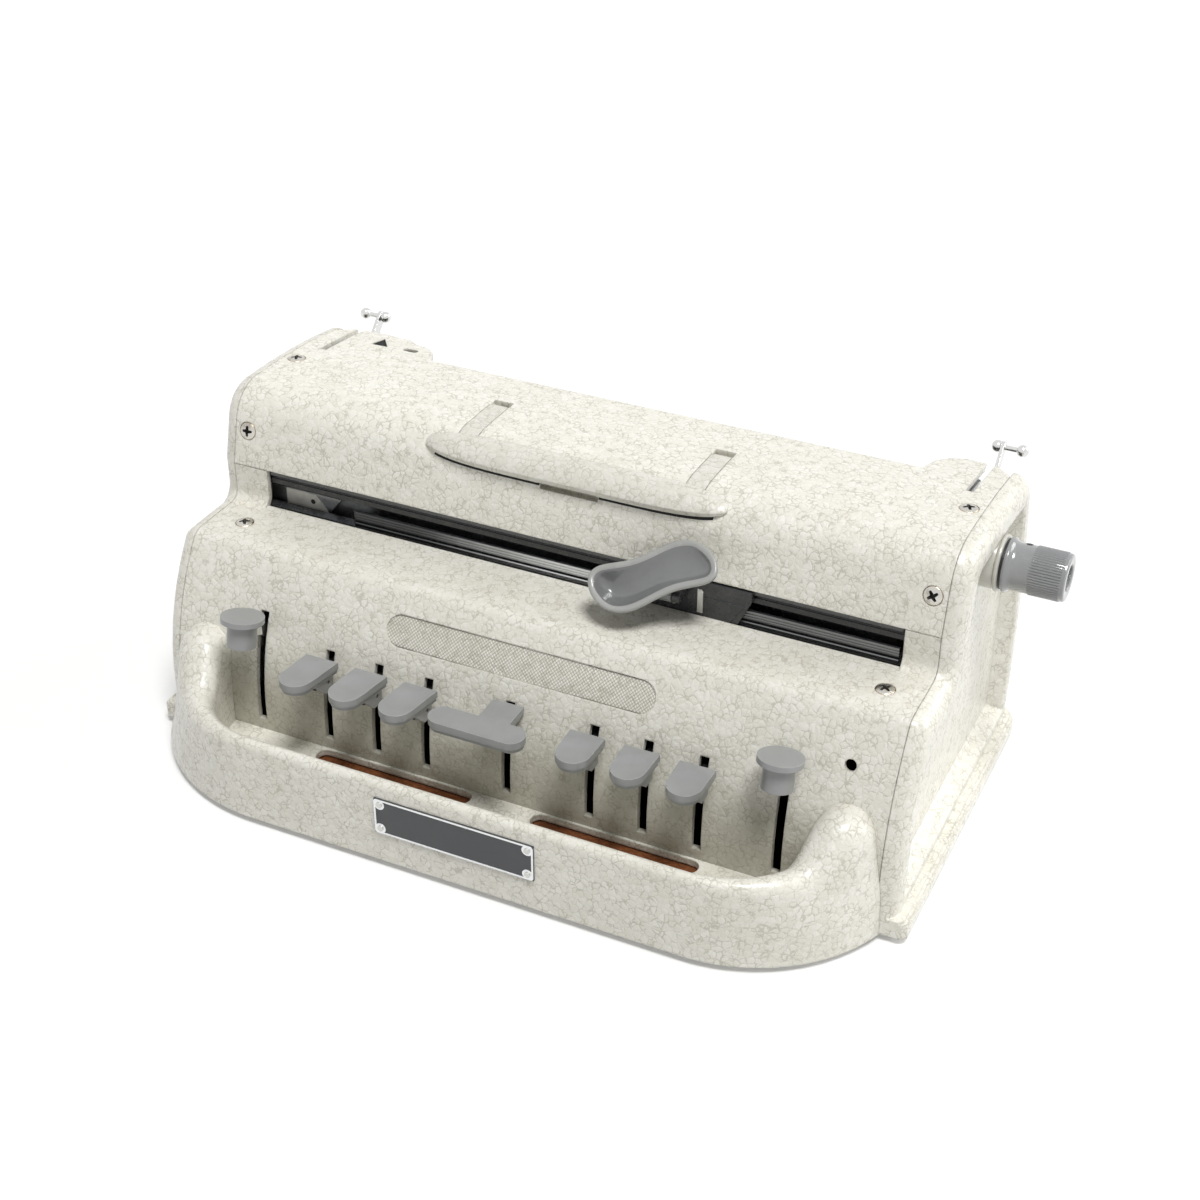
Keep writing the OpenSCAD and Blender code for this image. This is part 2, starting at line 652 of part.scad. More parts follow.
module rear_panel() {
    color(paint) place() {
        along_x(-cover_half, cover_half) polygon(concat(
            rear_curve(0, rear_panel_z[0], rear_panel_z[1]),
            rev(rear_curve(wall, rear_panel_z[0], rear_panel_z[1]))));
        // ears and pins that carry the reading rest
        for (side = [-1, 1]) {
            x0 = side > 0 ? rest_ear_x[0] : -rest_ear_x[1];
            box(x0, x0 + 5, rear_y_at(rest_hinge[1]) - 1, rest_hinge[0],
                rest_hinge[1] - rest_ear_r, rest_hinge[1] + rest_ear_r);
            rod_x(x0, x0 + 5, rest_hinge[0], rest_hinge[1], rest_ear_r);
            pin_x = side > 0 ? rest_ear_x[1] : -rest_ear_x[1] - 5;
            rod_x(pin_x, pin_x + 5, rest_hinge[0], rest_hinge[1], rest_pin_r);
        }
    }
}

plate_t = 0.8;
rivet_h = 0.6;
plate_half = 35.5;
plate_z = [15, 32];

module nameplate() {
    corner = 1.5;
    color(black) place() translate([0, guard_y, 0]) rotate([90, 0, 0]) linear_extrude(plate_t)
        difference() {
            translate([-plate_half, plate_z[0]])
                square([2 * plate_half, plate_z[1] - plate_z[0]]);
            for (q = plate_holes()) translate(q) circle(0.9);
        }
}

function plate_holes() = [for (side = [-1, 1], z = [plate_z[0] + 2.6, plate_z[1] - 2.6])
    [side * (plate_half - 2.6), z]];

module nameplate_rivets() {
    color(steel) place() translate([0, guard_y - plate_t, 0]) rotate([90, 0, 0])
        for (q = plate_holes()) translate([q[0], q[1], 0]) {
            cylinder(r = 1.3, h = rivet_h);
            translate([0, 0, -plate_t]) cylinder(r = 0.9 - run, h = plate_t);
        }
}

// ---------------------------------------------------------------- inner frame
plate_x = [146, 148];
lever_axis = [20, 20];
rod_at = [42, 95];
release_axis = [100, 100];
release_pin_r = 2;
release_rest_a = 45;
tab_face_y = 27;
tab_plate_t = 1.2;
tab_end_x = 118;
tab_z = [84.5, 92.8];
release_tip = release_axis + release_len * [cos(release_rest_a), sin(release_rest_a)];
frame_outline = [[10, floor_z], [10, ledge_z - 6], [27, ledge_z - 6], [27, 117], [37, 129],
    [78, 130.4], [104, 126.5], [112, 110], [112, floor_z]];

module frame_plate() {
    difference() {
        union() {
            along_x(plate_x[0], plate_x[1]) polygon(frame_outline);
            // lug under the ledge for its screw
            box(ledge_screw[0] - 4, plate_x[1], ledge_screw[1] - 4.4, 10.5, ledge_z - 12,
                ledge_z - wall - gap);
            // pin of the release lever, with a shoulder
            rod_x(plate_x[1], release_x + release_t / 2 + 1.2, release_axis[0],
                release_axis[1], release_pin_r);
            rod_x(plate_x[1] - 0.1, release_x - release_t / 2 - gap, release_axis[0],
                release_axis[1], release_pin_r + 2);
        }
        rod_x(plate_x[0] - 1, plate_x[1] + 1, roller_y, roller_z, shaft_d / 2 + run);
        rod_x(plate_x[0] - 1, plate_x[1] + 1, rod_at[0], rod_at[1], rod_d / 2 + run);
        rod_x(plate_x[0] - 1, plate_x[1] + 1, lever_axis[0], lever_axis[1],
            lever_shaft_d / 2 + run);
        translate([ledge_screw[0], ledge_screw[1], ledge_z - 14])
            cylinder(d = screw_d + 2 * run, h = 14);
        // windows that lighten the plate
        along_x(plate_x[0] - 1, plate_x[1] + 1) {
            translate([58, 40]) circle(16);
            translate([92, 70]) circle(9);
        }
    }
}

module right_frame_plate() {
    color(steel) place() frame_plate();
}

// The left plate has a tab that runs inwards behind the rails
module left_frame_plate() {
    color(steel) place() mirror([1, 0, 0]) {
        frame_plate();
        translate([0, tab_face_y + tab_plate_t, 0]) rotate([90, 0, 0]) linear_extrude(tab_plate_t)
            difference() {
                polygon([[plate_x[0] + cut, tab_z[0]], [plate_x[0] + cut, tab_z[1]],
                    [tab_end_x - 6.5, tab_z[1]], [tab_end_x, tab_z[0]]]);
                translate([tab_end_x + 8, (tab_z[0] + tab_z[1]) / 2]) circle(1.1);
            }
    }
}

module key_lever_shaft() {
    color(steel) place() rod_x(-plate_x[1], plate_x[1], lever_axis[0], lever_axis[1],
        lever_shaft_d / 2);
}

inner_half = plate_x[0] - 0.1;

module upper_rail() {
    color(black) place() along_x(-inner_half, inner_half) {
        translate([slot_y + 3.2, slot_top_z - 7.4]) square([4, 2.4]);
        translate([slot_y + 5.2, slot_top_z - 5.6]) circle(1.6);
    }
}

module lower_rail() {
    color(black) place() along_x(-inner_half, inner_half) difference() {
        translate([slot_y + 1.8, ledge_z - 5.4]) square([4.6, 4.4]);
        translate([slot_y + 1.8, ledge_z - 3.4]) circle(0.7);
    }
}

module carriage_rod() {
    color(steel) place() rod_x(-plate_x[1], plate_x[1], rod_at[0], rod_at[1], rod_d / 2);
}

rack_y = [29.5, 31.2];
rack_z = [81, 92.6];
cell_pitch = 6.2;

module escapement_rack() {
    teeth = floor(2 * inner_half / cell_pitch) - 2;
    color(steel) place() difference() {
        box(-inner_half, inner_half, rack_y[0], rack_y[1], rack_z[0], rack_z[1]);
        for (i = [0:teeth - 1])
            translate([(i - (teeth - 1) / 2) * cell_pitch - 0.8, rack_y[0] - 1, rack_z[0] - 1])
                cube([1.6, 4, 3]);
    }
}

drum_at = [80, 45];
module mainspring_drum() {
    color(steel) place() {
        rod_x(-plate_x[0], -plate_x[0] + 3, drum_at[0], drum_at[1], 5);
        difference() {
            rod_x(-plate_x[0] + 2.9, -plate_x[0] + 16, drum_at[0], drum_at[1], 18);
            rod_x(-plate_x[0] + 12, -plate_x[0] + 17, drum_at[0], drum_at[1], 14);
        }
        rod_x(-plate_x[0] + 11, -plate_x[0] + 18, drum_at[0], drum_at[1], 3);
    }
}

bell_at = [84, 48];
module bell() {
    r = 15;
    color(steel) place() translate([plate_x[0], bell_at[0], bell_at[1]]) rotate([0, -90, 0]) {
        cylinder(r = 2, h = 10);
        difference() {
            translate([0, 0, -4]) sphere(r = r);
            translate([0, 0, -4]) sphere(r = r - 1.2);
            translate([-r - 1, -r - 1, -2 * r]) cube([2 * r + 2, 2 * r + 2, 2 * r + 2]);
        }
    }
}

table_r = roller_d / 2 + 2;
module paper_table() {
    t = 1.2;
    axis = [roller_y, roller_z];
    a_end = 325;
    outer = arc(axis, table_r + t, 200, a_end, 16);
    inner = arc(axis, table_r, 200, a_end, 16);
    back = [rear_y_at(rear_panel_z[1], wall) - 1.2, rear_panel_z[1] + 1.2];
    color(steel) place() along_x(-inner_half, inner_half)
        polygon(concat(outer, [back - [0, t], back], rev(inner)));
}

rack_bar = [[107.6, 103.6], [111.6, 109.2]];
margin_notches = 22;
module margin_rack() {
    color(steel) place() difference() {
        box(-inner_half, inner_half, rack_bar[0][0], rack_bar[1][0], rack_bar[0][1],
            rack_bar[1][1]);
        for (side = [-1, 1], i = [0:margin_notches - 1])
            translate([side * (20 + i * 5.2) - 0.5, rack_bar[0][0] - 1, rack_bar[0][1] - 1])
                cube([1, 6, 1.8]);
    }
}

module knob_collar() {
    color([0.62, 0.63, 0.63]) place() difference() {
        union() {
            rod_x(dish_x, dish_x + 2, roller_y, roller_z, collar_flange_r);
            rod_x(dish_x + 1, dish_x + 9.4, roller_y, roller_z, collar_d / 2);
            rod_x(plug_x, dish_x + 1, roller_y, roller_z, collar_neck_r);
        }
        rod_x(plug_x - 1, dish_x + 12, roller_y, roller_z, shaft_d / 2 + run);
    }
}

// ---------------------------------------------------------------- keys
cap_back_y = panel_y - 0.4;
stem_w = 9;
stem_z0 = 44;
nose_r = 3;
bar_y0 = 34.5;
bar_pitch = 2.2;
bar_t = 1.2;
bar_z = [68, 77];
lever_nose_z = 24;
arm_r = 2.9;
boss_r = 6.5;
short_rear = 38;
function bar_y(i) = bar_y0 + (i - 1) * bar_pitch;

// A key outline with a square back at y1 and a round front at y0, set off by dx
// Step in from a key's top slab to the slab below it
lip = 0.7;

module key_outline(w, y0, y1, dx) {
    r = w / 2 - 0.1;
    translate([dx, y0 + r]) circle(r);
    polygon([[dx - r, y0 + r], [-w / 2 - 0.3, y1], [w / 2 + 0.3, y1], [dx + r, y0 + r]]);
}

module lever_tip_slot(y0, z0, z1) {
    box(-lever_t / 2 - run, lever_t / 2 + run, y0, cap_back_y + 6, z0, z1);
}

module key_stem(w) {
    // tapers downwards and forwards under the key's back half
    along_x(-w / 2, w / 2) polygon([[cap_back_y, key_top_z - 4], [cap_back_y, stem_z0],
        [cap_back_y - 6, stem_z0], [cap_back_y - 13, key_top_z - 5.4],
        [cap_back_y - 13, key_top_z - 4]]);
}

tip_top_z = 51.6;
tip_front_y = -46.5;

module dot_keycap(i) {
    left = i < 4;
    front = cap_back_y - key_len - (left ? 2.8 : 0);
    dx = left ? -2.4 : 0;
    color(grey_key) place() translate([key_xs[i - 1], 0, 0]) difference() {
        union() {
            translate([0, 0, key_top_z - key_slab]) linear_extrude(key_slab)
                key_outline(key_w - 0.8, front, cap_back_y, dx);
            translate([0, 0, key_top_z - key_slab - 1.9]) linear_extrude(2)
                key_outline(key_w - 0.8 - 2 * lip, front + lip, cap_back_y, dx);
            key_stem(stem_w);
        }
        lever_tip_slot(tip_front_y - run, stem_z0 - 1, tip_top_z + run);
        rod_x(-stem_w, stem_w, cap_back_y - 3.4, 48.6, 0.9);
        // shallow finger dish
        translate([dx / 2, cap_back_y - 12, key_top_z + 39.2]) sphere(r = 40, $fn = 96);
    }
}

module spacebar() {
    y1 = cap_back_y - 7.6;
    neck_y = cap_back_y + 5;
    r = space_d / 2;
    module outline(inset) {
        q = r - inset;
        for (x = [r - space_left, space_right - r]) translate([x, y1 - r]) circle(q);
        translate([r - space_left, y1 - r - q])
            square([space_left + space_right - 2 * r, 2 * q]);
        polygon([[-6.7 + inset, neck_y - inset], [6.7 - inset, neck_y - inset], [6.9 - inset, y1 - 2],
            [10.5 - inset, y1 - r], [-14 + inset, y1 - r], [-6.9 + inset, y1 - 2]]);
    }
    color(grey_key) place() difference() {
        union() {
            translate([0, 0, key_top_z - key_slab]) linear_extrude(key_slab) outline(0);
            translate([0, 0, key_top_z - key_slab - 1.9]) linear_extrude(2) outline(lip);
            translate([0, 0, key_top_z - key_slab - 3.3]) linear_extrude(2) outline(2.4);
            key_stem(stem_w);
        }
        lever_tip_slot(tip_front_y - run, stem_z0 - 1, tip_top_z + run);
    }
}

round_h = 13.2;
round_tilt = 12;
disc_t = 2.4;
arm_z = round_h - disc_t - 1.2 - arm_r;
function round_y(side) = side > 0 ? -40.2 : -45.1;
function round_foot_z(side) = round_top_z - round_h + (side > 0 ? round_rise : 0);
// A point of a round key's own drawing, whose stem leans back, as [y, z]
function round_point(side, y, z) =
    [round_y(side) + y * cos(round_tilt) + z * sin(round_tilt),
        round_foot_z(side) - y * sin(round_tilt) + z * cos(round_tilt)];

// The lever's arm comes into the stem from behind, sloping up
function round_arm(side) = let (p = round_point(side, 0, arm_z))
    [lever_axis, [-14, 46], p + [13.5, -7], p];

module round_keycap(side) {
    p = round_arm(side);
    color(grey_key) place() difference() {
        translate([side * round_x, round_y(side), round_foot_z(side)])
            rotate([-round_tilt, 0, 0]) {
                translate([0, 0, round_h - disc_t]) cylinder(d = disc_d, h = disc_t);
                cylinder(d = stub_d, h = round_h - 1);
            }
        along_x(side * round_x - lever_t / 2 - run, side * round_x + lever_t / 2 + run)
            polygon(ribbon([p[2], p[3]], arm_r + run));
    }
}

// Plate lever: boss on the shaft, front arm to the key and rear arm to its bar
module lever_plate(x, rear, front) {
    color(black) place() difference() {
        along_x(x - lever_t / 2, x + lever_t / 2) {
            translate(lever_axis) circle(boss_r);
            polygon(ribbon([lever_axis, [rear, lever_nose_z]], nose_r));
            polygon(ribbon(front, arm_r));
        }
        rod_x(x - lever_t, x + lever_t, lever_axis[0], lever_axis[1], lever_shaft_d / 2 + run);
    }
}

module flat_lever(x, rear) {
    tip_z = tip_top_z - arm_r;
    lever_plate(x, rear, [lever_axis, [-16, tip_z - 4], [-26, tip_z], [tip_front_y + arm_r, tip_z]]);
}

module dot_lever(i) {
    flat_lever(key_xs[i - 1], bar_y(i));
}

module space_lever() {
    flat_lever(0, short_rear);
}

module round_lever(side) {
    x = side * round_x;
    color(black) place() difference() {
        along_x(x - lever_t / 2, x + lever_t / 2) {
            translate(lever_axis) circle(boss_r);
            polygon(ribbon([lever_axis, [short_rear, lever_nose_z]], nose_r));
            polygon(ribbon(round_arm(side), arm_r));
        }
        rod_x(x - lever_t, x + lever_t, lever_axis[0], lever_axis[1], lever_shaft_d / 2 + run);
    }
}

// Return springs under the rear arms, one for each lever
module key_springs() {
    spring_y = 29;
    arm_under = lever_axis[1] + (spring_y - lever_axis[0]) * 0.2 - nose_r;
    color(steel) place() for (x = concat(key_xs, [0, -round_x, round_x]))
        translate([x, spring_y, board_t]) cylinder(d = 4, h = arm_under - board_t - 0.7);
}

// Long bar across the machine, raised by its lever through a leg
module dot_bar(i) {
    x = key_xs[i - 1];
    y = bar_y(i);
    color(steel) place() {
        box(-inner_half, inner_half, y - bar_t / 2, y + bar_t / 2, bar_z[0], bar_z[1]);
        box(x - 3, x + 3, y - bar_t / 2, y + bar_t / 2, lever_nose_z + nose_r + 0.3,
            bar_z[0] + 1);
    }
}

// ---------------------------------------------------------------- carriage
neck_z = [93.2, 96];
car_plate_y = [18.3, 20.3];
car_plate_z = [ledge_z - wall - gap, slot_top_z - 0.9];
car_slant = 7;
ear_at = [3, 15];
ear_w = 3;
car_back_y = [34, 48];
car_block_z = [84, 100.6];
spoon_axis = [10.6, 98.6];
spoon_pin_r = 1.5;

module carriage_body() {
    x1 = car_x0 + car_w;
    color(black) place() difference() {
        union() {
            // front plate with a slanted right end, between the ledge and the rails
            translate([0, car_plate_y[1], 0]) rotate([90, 0, 0])
                linear_extrude(car_plate_y[1] - car_plate_y[0])
                polygon([[car_x0, car_plate_z[0]], [x1 - 2, car_plate_z[0]],
                    [x1 - 2 + car_slant, 98.6], [x1 - 2 + car_slant, car_plate_z[1]],
                    [car_x0, car_plate_z[1]]]);
            box(car_x0, x1, car_plate_y[0], car_back_y[0] + 1, neck_z[0], neck_z[1]);
            box(car_x0, x1, car_back_y[0], car_back_y[1], car_block_z[0], car_block_z[1]);
            // ears that hold the head lever's pin
            for (x = [car_x0 + ear_at[0], car_x0 + ear_at[1]]) {
                box(x, x + ear_w, spoon_axis[0], car_plate_y[0] + 0.5, spoon_axis[1] - 2.6,
                    spoon_axis[1] + 2.6);
                rod_x(x, x + ear_w, spoon_axis[0], spoon_axis[1], 2.6);
            }
            rod_x(car_x0 + ear_at[0], car_x0 + ear_at[1] + ear_w, spoon_axis[0],
                spoon_axis[1], spoon_pin_r);
        }
        rod_x(car_x0 - 1, x1 + 1, rod_at[0], rod_at[1], rod_d / 2 + run);
        translate([car_x0 + 11.5, car_plate_y[0] - 1, 91.5]) rotate([-90, 0, 0])
            cylinder(d = 2.4, h = 2);
    }
}

module stylus_block() {
    w = 10;
    x = car_x0 + (car_w - w) / 2;
    color(steel) place() {
        box(x, x + w, car_back_y[0], car_back_y[1] - 1, car_block_z[0] - 2.2, car_block_z[0]);
        for (row = [0:2], col = [0, 1])
            translate([x + 3.75 + 2.5 * col, 36 + 2.5 * row, car_block_z[0] - 2.7])
                cylinder(r = 0.7, h = 0.6, $fn = 16);
    }
}

// Spoon of the head lever: a shallow dish whose middle line bends once each way.
// t runs along it from 0 to 1, v across it from -1 to 1.
spoon_tip = [22, -4, 103.2];
spoon_turn = 29;
spoon_tilt = 42;
spoon_t = 2;
function spoon_w(t) =
    spoon_half_w * sqrt(max(1 - pow(abs(2 * t - 1), 5), 0.001)) * (1 - 0.08 * pow(sin(180 * t), 4));
function spoon_mid(t) = -5.4 * t - 2.6 * sin(360 * t);
function spoon_sink(t, v) =
    let (e = 0.9 * pow(abs(2 * t - 1), 4)) -(6.2 - 3.4 * smooth(t * 1.4)) * (1 - v * v) * (1 - e);
function spoon_lift(t) = 1.4 * smooth((t - 0.45) * 1.6);
function spoon_point(t, v, under) =
    [spoon_len * t, spoon_mid(t) + spoon_w(t) * v * (1 - 0.06 * under),
        spoon_lift(t) + spoon_sink(t, v) - spoon_t * under * (1 + 0.3 * (1 - v * v))];
spoon_rows = 22;
spoon_cols = 8;

module spoon() {
    rows = [for (i = [0:spoon_rows]) let (t = 0.5 - 0.5 * cos(180 * i / spoon_rows))
        concat([for (j = [0:spoon_cols]) spoon_point(t, 2 * j / spoon_cols - 1, 0)],
            [for (j = [spoon_cols:-1:0]) spoon_point(t, 2 * j / spoon_cols - 1, 1)])];
    translate(spoon_tip) rotate([spoon_tilt, 0, 0]) rotate([0, 0, spoon_turn]) loft(rows);
}

module head_lever() {
    x0 = car_x0 + ear_at[0] + ear_w + gap;
    x1 = car_x0 + ear_at[1] - gap;
    color(grey_key) place() difference() {
        union() {
            spoon();
            rod_x(x0, x1, spoon_axis[0], spoon_axis[1], 3);
            along_x(x0, x1) polygon([[spoon_axis[0] - 1, spoon_axis[1] - 2],
                [spoon_axis[0] + 1.6, spoon_axis[1] + 1.8], [10.6, 110.6], [9, 109.9],
                [6.7, 107.5], [4.8, 105.4], [7.2, 100]]);
        }
        rod_x(x0 - 1, x1 + 1, spoon_axis[0], spoon_axis[1], spoon_pin_r + run);
    }
}

// ---------------------------------------------------------------- paper roller
wheel_t = 1.5;
roller_half = plate_x[0] - wheel_t - 1.1;
module feed_roller() {
    color([0.12, 0.12, 0.12]) place() {
        rod_x(-roller_half, roller_half, roller_y, roller_z, roller_d / 2);
        rod_x(-plate_x[1] - 2, knob_end_x - 12, roller_y, roller_z, shaft_d / 2);
    }
}

module ratchet_wheel() {
    teeth = 30;
    r = 15;
    color(steel) place() difference() {
        along_x(-roller_half - wheel_t - 0.4, -roller_half - 0.4)
            translate([roller_y, roller_z]) polygon([for (i = [0:teeth - 1])
                each [r * [cos(360 * i / teeth), sin(360 * i / teeth)],
                    (r - 1.6) * [cos(360 * (i + 0.15) / teeth), sin(360 * (i + 0.15) / teeth)]]]);
        rod_x(-plate_x[0], -roller_half, roller_y, roller_z, shaft_d / 2);
    }
}

knob_ridges = 40;
module paper_knob() {
    x0 = knob_end_x - knob_len;
    r = knob_d / 2;
    color(grey_knob) place() difference() {
        union() {
            rod_x(x0 - 2.4, x0, roller_y, roller_z, r - 0.4);
            rod_x(x0 - 0.1, x0 + 8, roller_y, roller_z, r);
            along_x(x0 + 7.9, knob_end_x - 1) translate([roller_y, roller_z])
                polygon([for (i = [0:knob_ridges - 1]) each [
                    (r - 0.55) * [cos(360 * i / knob_ridges), sin(360 * i / knob_ridges)],
                    (r - 0.02) * [cos(360 * (i + 0.3) / knob_ridges),
                        sin(360 * (i + 0.3) / knob_ridges)],
                    (r - 0.02) * [cos(360 * (i + 0.7) / knob_ridges),
                        sin(360 * (i + 0.7) / knob_ridges)]]]);
            rod_x(knob_end_x - 1.1, knob_end_x, roller_y, roller_z, r - 1);
        }
        rod_x(x0 - 3, knob_end_x - 12, roller_y, roller_z, shaft_d / 2);
        rod_x(knob_end_x - 12.1, knob_end_x + 1, roller_y, roller_z, 5.2);
    }
}

// ---------------------------------------------------------------- handle and levers
// Bar of the handle: thin at its back edge, full at its front edge, tapering to both tips
function bar_row(x) =
    let (k = sqrt(max(1 - pow(abs(x) / handle_half, 5), 0)), mid = 133,
        a0 = mid + (bar_a[0] - mid) * (0.12 + 0.88 * k),
        a1 = mid + (bar_a[1] - mid) * (0.12 + 0.88 * k),
        outer = [for (i = [0:10]) let (s = i / 10, a = a0 + (a1 - a0) * s,
            h = (0.5 + bar_out * sin(90 * min(s * 1.25, 1))) * (0.1 + 0.9 * k)
                * (s > 0.85 ? 1 - 3 * pow(s - 0.85, 2) * 8 : 1))
            crown_c + (crown_r + gap + h) * [cos(a), sin(a)]],
        inner = [for (i = [10:-1:0]) let (a = a0 + (a1 - a0) * i / 10)
            crown_c + (crown_r + gap) * [cos(a), sin(a)]])
    [for (q = rev(concat(outer, inner))) [x, q[0], q[1]]];

module carrying_handle() {
    xs = [for (i = [-14:14]) handle_half * 0.998 * sin(90 * i / 14)];
    color(paint) place() difference() {
        union() {
            loft([for (x = xs) bar_row(x)]);
            for (side = [-1, 1]) {
                x0 = side * arm_x - arm_w / 2;
                along_x(x0, x0 + arm_w) {
                    polygon(strip(0, arm_t, arm_front_a, arm_end_y));
                    polygon(concat(arc(crown_c, crown_r + 1, 114, arm_front_a, 4),
                        rev(arc(crown_c, crown_r - arm_t, 114, arm_front_a, 4))));
                    translate([hinge_y, hinge_z]) circle(knuckle_r);
                    polygon([[arm_end_y - 1.2, top_z_at(arm_end_y - 1.2, arm_t * 0.9)],
                        [hinge_y - 2, hinge_z], [hinge_y + 0.4, hinge_z + 1.9],
                        [arm_end_y, top_z_at(arm_end_y, 0.1)]]);
                }
                rod_x(x0 - 2.3, x0 + arm_w + 2.3, hinge_y, hinge_z, hinge_pin_r);
            }
        }
        // finger notch in the lower front edge
        along_x(-notch_half, notch_half)
            polygon(concat(arc(crown_c, crown_r - 1, 160, 139, 6),
                rev(arc(crown_c, crown_r + 2.4, 160, 143, 6))));
    }
}

// Half outline of a ball on a thin rod, as [radius, height], from its pole to the rod
function ball_half(h, way) =
    let (r = ball_d / 2, a = acos(1.1 / r),
        v = [for (i = [0:10]) let (q = -90 + (90 + a) * i / 10) [r * cos(q), h + way * r * sin(q)]],
        w = concat([[0, h - way * r]], tail(v)))
    way > 0 ? w : rev(w);

module release_lever() {
    x0 = release_x - release_t / 2;
    difference() {
        union() {
            along_x(x0, x0 + release_t) {
                translate(release_axis) circle(5.4);
                polygon(ribbon([release_axis, release_tip], 2.5));
            }
            translate([release_x - 2.4, release_tip[0], release_tip[1]]) rotate([0, 90, 0])
                rotate_extrude() polygon(concat(ball_half(0, 1), ball_half(10.6, -1)));
        }
        rod_x(x0 - 1, x0 + 3, release_axis[0], release_axis[1], release_pin_r + run);
    }
}

module right_release_lever() {
    color(steel) place() release_lever();
}

module left_release_lever() {
    color(steel) place() mirror([1, 0, 0]) release_lever();
}

stop_x = 96;
module margin_stop(x) {
    lo = rack_bar[0] - [1.6, 1.6];
    hi = rack_bar[1] + [1.6, 1.6];
    color(steel) place() difference() {
        union() {
            box(x - 5, x + 5, lo[0], hi[0], lo[1], hi[1]);
            box(x - 3.5, x + 3.5, hi[0] - 0.1, hi[0] + 8, hi[1] - 1.6, hi[1]);
            rod_x(x - 3.5, x + 3.5, hi[0] + 8, hi[1] - 0.8, 1.4);
        }
        box(x - 6, x + 6, rack_bar[0][0] - gap, rack_bar[1][0] + gap, rack_bar[0][1] - gap,
            rack_bar[1][1] + gap);
    }
}

// Flap that folds out at the back to carry the finished sheet
module reading_rest() {
    t = rest_t;
    y0 = rest_hinge[0] - t / 2;
    z = [rest_hinge[1] - rest_len, rest_hinge[1]];
    half = rest_ear_x[1] + gap + 4.4;
    color(steel) place() difference() {
        union() {
            box(-half, half, y0, y0 + t, z[0], z[1]);
            for (side = [-1, 1]) rod_x(side > 0 ? rest_ear_x[1] + gap : -half,
                side > 0 ? half : -rest_ear_x[1] - gap, rest_hinge[0], rest_hinge[1], rest_ear_r);
        }
        for (side = [-1, 1]) {
            box(side > 0 ? rest_ear_x[0] - gap : -rest_ear_x[1] - gap,
                side > 0 ? rest_ear_x[1] + gap : gap - rest_ear_x[0],
                y0 - 2, y0 + t + 2, rest_hinge[1] - 4, rest_hinge[1] + 4);
            rod_x(side > 0 ? rest_ear_x[1] - 1 : -half - 1, side > 0 ? half + 1 : 1 - rest_ear_x[1],
                rest_hinge[0], rest_hinge[1], rest_pin_r + run);
        }
    }
}

// ---------------------------------------------------------------- assembly
base_tray();
bottom_board();
rubber_feet();
front_panel();
top_cover();
left_side_panel();
right_side_panel();
rear_panel();
casing_screws();
nameplate();
nameplate_rivets();
left_frame_plate();
right_frame_plate();
key_lever_shaft();
key_springs();
upper_rail();
lower_rail();
carriage_rod();
escapement_rack();
mainspring_drum();
bell();
paper_table();
margin_rack();
knob_collar();
dot_keycap(1);  // dot_1_keycap
dot_keycap(2);  // dot_2_keycap
dot_keycap(3);  // dot_3_keycap
dot_keycap(4);  // dot_4_keycap
dot_keycap(5);  // dot_5_keycap
dot_keycap(6);  // dot_6_keycap
spacebar();
round_keycap(-1);  // line_space_keycap
round_keycap(1);  // backspace_keycap
dot_lever(1);  // dot_1_lever
dot_lever(2);  // dot_2_lever
dot_lever(3);  // dot_3_lever
dot_lever(4);  // dot_4_lever
dot_lever(5);  // dot_5_lever
dot_lever(6);  // dot_6_lever
space_lever();
round_lever(-1);  // line_space_lever
round_lever(1);  // backspace_lever
dot_bar(1);  // dot_1_bar
dot_bar(2);  // dot_2_bar
dot_bar(3);  // dot_3_bar
dot_bar(4);  // dot_4_bar
dot_bar(5);  // dot_5_bar
dot_bar(6);  // dot_6_bar
carriage_body();
stylus_block();
head_lever();
feed_roller();
paper_knob();
ratchet_wheel();
carrying_handle();
left_release_lever();
right_release_lever();
margin_stop(-stop_x);  // left_margin_stop
margin_stop(stop_x);  // right_margin_stop
reading_rest();
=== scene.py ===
import math

import bmesh  # noqa: E402
import bpy  # noqa: E402
from mathutils import Matrix, Vector  # noqa: E402

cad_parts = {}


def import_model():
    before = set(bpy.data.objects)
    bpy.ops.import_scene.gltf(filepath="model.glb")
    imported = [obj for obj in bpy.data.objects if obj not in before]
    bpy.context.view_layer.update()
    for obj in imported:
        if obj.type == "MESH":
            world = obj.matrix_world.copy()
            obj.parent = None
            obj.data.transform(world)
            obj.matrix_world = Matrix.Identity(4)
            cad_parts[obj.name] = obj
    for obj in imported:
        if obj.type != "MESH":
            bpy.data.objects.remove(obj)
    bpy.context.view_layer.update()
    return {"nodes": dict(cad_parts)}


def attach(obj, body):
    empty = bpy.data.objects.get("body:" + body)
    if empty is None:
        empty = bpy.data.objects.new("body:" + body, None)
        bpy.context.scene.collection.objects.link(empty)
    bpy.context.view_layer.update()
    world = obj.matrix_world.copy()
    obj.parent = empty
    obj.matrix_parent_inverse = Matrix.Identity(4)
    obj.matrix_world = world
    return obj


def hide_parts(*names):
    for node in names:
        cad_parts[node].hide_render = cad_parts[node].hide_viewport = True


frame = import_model()
nodes = frame["nodes"]

# The machine's own middle plane and base, in millimetres, to the row frame in metres
SHIFT = Vector((-11.6, -25.343, 3.0))

